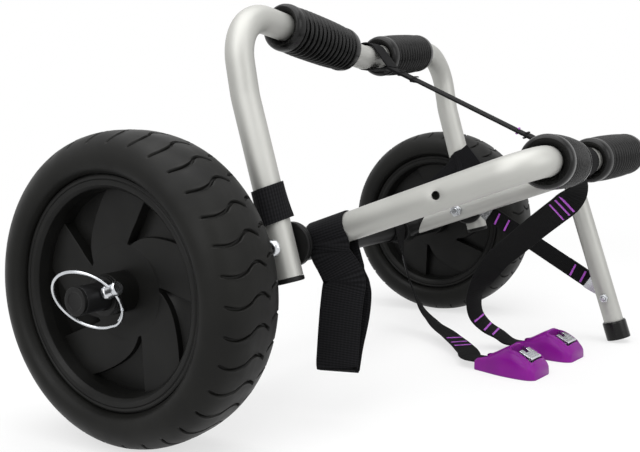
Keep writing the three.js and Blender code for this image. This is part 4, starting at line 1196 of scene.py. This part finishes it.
def makeStandBolts():
    about = rotation(180, "Z")
    pivot = frontMatrix @ Matrix.Translation((0, standHole["reach"], 0)) @ about
    tab = frontMatrix @ Matrix.Translation(standSizes["tabBolt"]) @ about
    low = standMatrix @ Matrix.Translation((standSizes["strapSide"], 0, -standSizes["strapReach"])) @ about
    dress("kickstand_bolt", domedBolt(**boltSizes["stand"]), pivot)
    dress("kickstand_nut", hexNut(**nutSizes["stand"]), pivot)
    dress("strap_tab_bolt", domedBolt(**boltSizes["tab"]), tab)
    dress("kickstand_strap_bolt", domedBolt(**boltSizes["strap"]), low)
    dress("kickstand_strap_nut", hexNut(**nutSizes["strap"]), low)


def keepNode(node, bevelMm):  # the solid's own shape, with its edges softened
    piece = frame["nodes"][node]
    piece.data.materials.clear()
    piece.data.materials.append(finishes[slotOf[node]])
    bevel = piece.modifiers.new("soft edges", "BEVEL")
    bevel.width = bevelMm * mm
    bevel.segments = 2
    bevel.limit_method = "ANGLE"


standStrap = {  # webbing between the tabs, its sewn-back ends lying double
    "high": 18, "half": 0.75, "upperTab": 20, "lowerTab": 29, "width": 20, "thickness": 1.8, "steps": 40,
    "doubled": ((0, 9), (31, 40)), "foldOut": -1.9, "foldWidth": 19.6, "foldThickness": 1.7,
    "tacks": (0.07, 0.17, 0.84, 0.94), "tackAcross": 5.6, "tackSlant": -8, "tackLength": 15,
}


def makeStandStrap():
    size, steps = standStrap, standStrap["steps"]
    legSide = -frames["front"]["legHalf"] - tubeSizes["radius"] - gap
    upper = frontMatrix @ Vector((legSide - size["half"], size["high"], 0))
    lower = standMatrix @ Vector((standSizes["strapSide"] - size["half"], 0, -standSizes["strapReach"]))
    slope = math.atan2(lower.z - upper.z, lower.y - upper.y)
    along = Vector((0, math.cos(slope), math.sin(slope)))
    start, end = upper + along * (size["upperTab"] + gap), lower - along * (size["lowerTab"] + gap)
    across = Vector((0, -math.sin(slope), math.cos(slope)))
    path = [start.lerp(end, i / steps) for i in range(steps + 1)]
    shape = strip(path, across, size["width"], size["thickness"])
    folds = []
    for first, last in size["doubled"]:
        fold = [p + Vector((size["foldOut"], 0, 0)) for p in path[first:last + 1]]
        folds.append(strip(fold, across, size["foldWidth"], size["foldThickness"]))
    stitches = tacksOn(path, across, size["tacks"], size["tackAcross"], size["tackSlant"], size["tackLength"])
    piece = dress("kickstand_strap", joined(shape, *folds), rides=False)
    sewn = makePiece("kickstandStrapStitches", stitches, finishes["thread"])
    for soft in (piece, sewn):
        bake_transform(soft)


makeKickstand()
makeStandBolts()
makeStandStrap()
keepNode("strap_tab_upper", 0.4)
keepNode("strap_tab_lower", 0.4)
print("kickstand made")


# Limit strap between the two top bars: each end goes round its bar and is sewn back on itself
limitSizes = {
    "offset": -17, "width": 25, "thickness": 1.8, "loop": 14.0, "sewn": 34, "meet": 30, "apart": 0.9,
    "loopSteps": 26, "flapSteps": 6, "flapEnd": 0.6, "steps": 60, "tackAcross": 5.4,
    "webbingTacks": (0.35, 0.85, -0.9), "purpleTacks": (-1.15, -0.4),
}


def barFrame(frameName, x):
    return frames[frameName]["matrix"] @ barPlace(frameName, x)


def loopRound(eye, direction):  # out from the meeting place, round the bar and back
    size = limitSizes
    up = xAxis.cross(direction).normalized()
    side = up * size["apart"]
    bow = math.acos(size["loop"] / size["meet"])
    meeting = eye + direction * size["meet"]
    path = [meeting + side]
    for i in range(size["loopSteps"] + 1):
        angle = bow + (fullTurn - 2 * bow) * i / size["loopSteps"]
        path.append(eye + (direction * math.cos(angle) + up * math.sin(angle)) * size["loop"])
    return path + [meeting - side]


def flapAlong(start, direction):  # the strap's own end, sewn back on it
    size, steps = limitSizes, limitSizes["flapSteps"]
    drops = [0] * (steps - 1) + [size["flapEnd"]]
    return [start + direction * (size["sewn"] * (i + 1) / steps) - zAxis * drop for i, drop in enumerate(drops)]


def makeLimitStrap():
    size = limitSizes
    rear, front = barFrame("rear", size["offset"]), barFrame("front", size["offset"])
    slope = (front - rear).normalized()
    start, end = rear + slope * size["meet"], front - slope * size["meet"]
    path = [start.lerp(end, i / size["steps"]) for i in range(size["steps"] + 1)]
    shapes = [strip(path, xAxis, size["width"], size["thickness"])]
    for eye, direction in ((rear, slope), (front, -slope)):
        loop = loopRound(eye, direction)
        whole = loop + flapAlong(loop[-1], direction)
        shapes.append(strip(whole, xAxis, size["width"] - 0.4, size["thickness"] - 0.1))
    share = size["sewn"] / (end - start).length
    places = {name: [(1 if at < 0 else 0) + share * at for at in size[name]]
              for name in ("webbingTacks", "purpleTacks")}
    shapes.append(tacksOn(path, xAxis, places["webbingTacks"], size["tackAcross"], 8, 19))
    piece = dress("limit_strap", joined(*shapes), rides=False)
    stitches = tacksOn(path, xAxis, places["purpleTacks"], size["tackAcross"], 14, 9)
    sewn = makePiece("limitStrapStitches", stitches, finishes["thread"])
    for soft in (piece, sewn):
        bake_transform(soft)


makeLimitStrap()
print("limit strap made")


# Loops that carry the tie straps, round the front bar and round the axle
strapLoops = {
    "barStrapLoop": {"centre": barFrame("front", 17), "radius": 13.9},
    "axleStrapLoop": {"centre": axleMatrix @ Vector((-150, 0, 0)), "radius": 12.4},
}


def makeStrapLoops():
    for name, size in strapLoops.items():
        ring = [size["centre"] + yAxis * y + zAxis * z for y, z in circle(size["radius"], 48)]
        band = strip(ring + ring[:1], xAxis, strapSizes["width"], 1.8)
        addOn(name, band, finishes["black_webbing"], "front_frame")


makeStrapLoops()


# Wraps: sleeves of webbing whose ends are cut on a slant
wrapSizes = {
    "sleeve": {"start": 21, "length": 31, "slant": 2.0, "flare": 2.6, "towards": 200},
    "strap": {"start": 31, "length": 35, "slant": 9.0, "flare": 3.0, "towards": -40},
}
wrapInner, wrapThickness = 12.7, 1.7
wrapLap = {"high": 0.9, "from": 0.86}


def wrapShape(start, length, slant, flare, towards):
    rings, marks = [], []
    steps, shares = 72, (0, 0.25, 0.5, 0.75, 1)
    fine = [(share, 0) for share in shares] + [(share, wrapThickness) for share in reversed(shares)]
    for i in range(steps + 1):
        angle = fullTurn * i / steps
        lapped = max(0.0, (i - steps * wrapLap["from"]) / (steps * (1 - wrapLap["from"])))
        lean = math.cos(angle - math.radians(towards))
        ring = []
        for share, high in fine:
            along = start + length * share + slant * lean
            radius = wrapInner + high + wrapThickness * wrapLap["high"] * lapped
            radius += flare * (1 - share) ** 2 * max(0.0, lean)
            ring.append(Vector((radius * math.cos(angle), along, radius * math.sin(angle))))
            marks.append((length * share * mm, wrapInner * angle * mm))
        rings.append(ring)
    return loft(rings, marks=marks)


legBand = {  # between the two left legs, in mm along and across the rear leg from its lower end
    "route": [(64.9, -25.5), (59, -12.1), (50.4, 2.2), (42.9, 17.8), (34.9, 34.8), (27.8, 47.5), (17.9, 57.3)],
    "inward": 13.8, "width": 30, "steps": 48,
}


def legBandShape():
    x = legBand["inward"] - frames["rear"]["legHalf"]
    path = centripetal([rearMatrix @ Vector((x, y, z)) for y, z in legBand["route"]], legBand["steps"])
    across = []
    for i in range(len(path)):
        before, after = neighbours(path, i)
        across.append((after - before).normalized().cross(xAxis))
    return strip(path, across, legBand["width"], wrapThickness)


def makeWraps():
    half = frames["rear"]["legHalf"]
    sleeve = wrapShape(**wrapSizes["sleeve"])
    place = rearMatrix @ Matrix.Translation((half, 0, 0))
    dress("rear_leg_sleeve", sleeve, place, finish=finishes["hookStrap"])
    wrap = placed(wrapShape(**wrapSizes["strap"]), rearMatrix @ Matrix.Translation((-half, 0, 0)))
    dress("rear_leg_strap", joined(wrap, legBandShape()), finish=finishes["hookStrap"])


makeWraps()


# Storage strap: a collar on the right front leg, and a long loop folded below it
storageSizes = {
    "start": 10.5, "width": 38, "thickness": 1.9, "collar": 13.8, "turnFrom": 215, "turn": 250, "turnSteps": 24,
    "steps": 170, "frontFaces": (-0.22, 0.97, 0.1), "turnsBelow": 14, "turnedBy": 24, "aheadBy": 7,
    "hanging": [  # (out, along the ground, down) from the collar's middle
        (9.5, 2, -17), (6.8, 6, -26), (5.0, 10, -34), (4.2, 12.5, -41), (4.4, 10.8, -52), (4.6, 8.4, -68),
        (4.6, 6.2, -86), (4.4, 4.2, -104), (4.0, 3.0, -115), (2.6, 2.6, -119.4), (0.6, 2.6, -119.6),
        (-0.8, 3.0, -115), (-3.2, 4.4, -104), (-8.0, 6.8, -88), (-11.4, 9.2, -70), (-10.6, 11.2, -54),
        (-5.6, 12.4, -43), (-2.2, 10, -36), (-4.4, 6, -26), (-8.4, 2, -18), (-11.6, 0, -9),
    ],
}


def makeStorageStrap():
    size = storageSizes
    middle = frontMatrix @ Vector((frames["front"]["legHalf"], size["start"] + size["width"] / 2, 0))
    leg = (frontMatrix.to_3x3() @ yAxis).normalized()
    up = zAxis - leg * leg.z
    points = []
    for i in range(size["turnSteps"] + 1):  # round the leg from its inner side over the top
        angle = math.radians(size["turnFrom"] - size["turn"] * i / size["turnSteps"])
        points.append(middle + xAxis * (size["collar"] * math.cos(angle)) + up * (size["collar"] * math.sin(angle)))
    points += [middle + Vector(spot) for spot in size["hanging"]]
    path = centripetal(points, size["steps"])
    wide = []
    front = Vector(size["frontFaces"])
    for here in path:
        down = clamped((middle.z - size["turnsBelow"] - here.z) / size["turnedBy"])
        ahead = clamped((here.x - middle.x + size["aheadBy"]) / size["aheadBy"])
        wide.append(leg.lerp(yAxis.lerp(front, ahead), down))
    flat = strip(path, wide, size["width"], size["thickness"])
    piece = dress("storage_strap", flat, finish=finishes["hookStrap"])


makeStorageStrap()
print("straps made")


# Stage: a pale floor that keeps a soft shadow, plain lights, and a white surround
def shownToCamera(tree):  # 1 for rays from the camera, mirrors and glass
    path = addNode(tree, "ShaderNodeLightPath", {})
    total = addNode(tree, "ShaderNodeMath", {"operation": "MAXIMUM"},
                    {0: path.outputs["Is Camera Ray"], 1: path.outputs["Is Glossy Ray"]})
    return addNode(tree, "ShaderNodeMath", {"operation": "MAXIMUM"},
                   {0: total.outputs[0], 1: path.outputs["Is Transmission Ray"]}).outputs[0]


stageSizes = {"half": 6000, "surroundLow": 0.55}
floorGlow = {"From Min": 0.5, "From Max": 1.6, "To Min": 0.66, "To Max": 1.0, "interpolation_type": "SMOOTHSTEP"}


def makeFloor():  # it glows more with distance, so that it meets the white surround unseen
    material = bpy.data.materials.new("pale studio floor")
    material.use_nodes = True
    tree = material.node_tree
    tree.nodes.clear()
    diffuse = addNode(tree, "ShaderNodeBsdfDiffuse", {"Color": hexColour("#f4f4f4")})
    glow = addNode(tree, "ShaderNodeEmission", {"Color": (1, 1, 1, 1), "Strength": 1.0})
    place = addNode(tree, "ShaderNodeTexCoord", {})
    away = addNode(tree, "ShaderNodeVectorMath", {"operation": "LENGTH"}, {0: place.outputs["Object"]})
    share = addNode(tree, "ShaderNodeMapRange", floorGlow, {"Value": away.outputs["Value"]})
    part = addNode(tree, "ShaderNodeMath", {"operation": "MULTIPLY"}, {0: shownToCamera(tree), 1: share.outputs[0]})
    mixed = addNode(tree, "ShaderNodeMixShader", {}, {0: part.outputs[0], 1: diffuse.outputs[0], 2: glow.outputs[0]})
    addNode(tree, "ShaderNodeOutputMaterial", {}, {"Surface": mixed.outputs[0]})
    half = stageSizes["half"]
    corners = [(-half, -half, 0), (half, -half, 0), (half, half, 0), (-half, half, 0)]
    floor = makePiece("floor", shapeOf(corners, [[0, 1, 2, 3]]), material)


def makeWorld():
    world = bpy.data.worlds.new("white surround")
    bpy.context.scene.world = world
    world.use_nodes = True
    tree = world.node_tree
    tree.nodes.clear()
    brightness = {"To Min": stageSizes["surroundLow"], "To Max": 1.0}
    strength = addNode(tree, "ShaderNodeMapRange", brightness, {"Value": shownToCamera(tree)})
    glow = addNode(tree, "ShaderNodeBackground", {"Color": (1, 1, 1, 1)}, {"Strength": strength.outputs["Result"]})
    addNode(tree, "ShaderNodeOutputWorld", {}, {"Surface": glow.outputs[0]})


lamps = {
    "overhead": {"place": (0.3, 0.2, 2.0), "aim": (0, 0, 0.1), "size": 2.2, "watts": 34},
    "front": {"place": (1.7, 0.2, 1.1), "aim": (0, 0, 0.15), "size": 1.4, "watts": 14},
    "side": {"place": (0.2, 1.9, 0.9), "aim": (0, 0.1, 0.1), "size": 1.2, "watts": 9},
}


def makeLamps():
    for name, lamp in lamps.items():
        data = bpy.data.lights.new(name, "AREA")
        data.size = lamp["size"]
        data.energy = lamp["watts"]
        light = bpy.data.objects.new(name, data)
        light.location = lamp["place"]
        aim = Vector(lamp["aim"]) - Vector(lamp["place"])
        light.rotation_mode = "QUATERNION"
        light.rotation_quaternion = aim.to_track_quat("-Z", "Y")
        bpy.context.scene.collection.objects.link(light)


makeFloor()
makeWorld()
makeLamps()
bpy.context.scene.view_settings.view_transform = "Standard"
print("stage made")
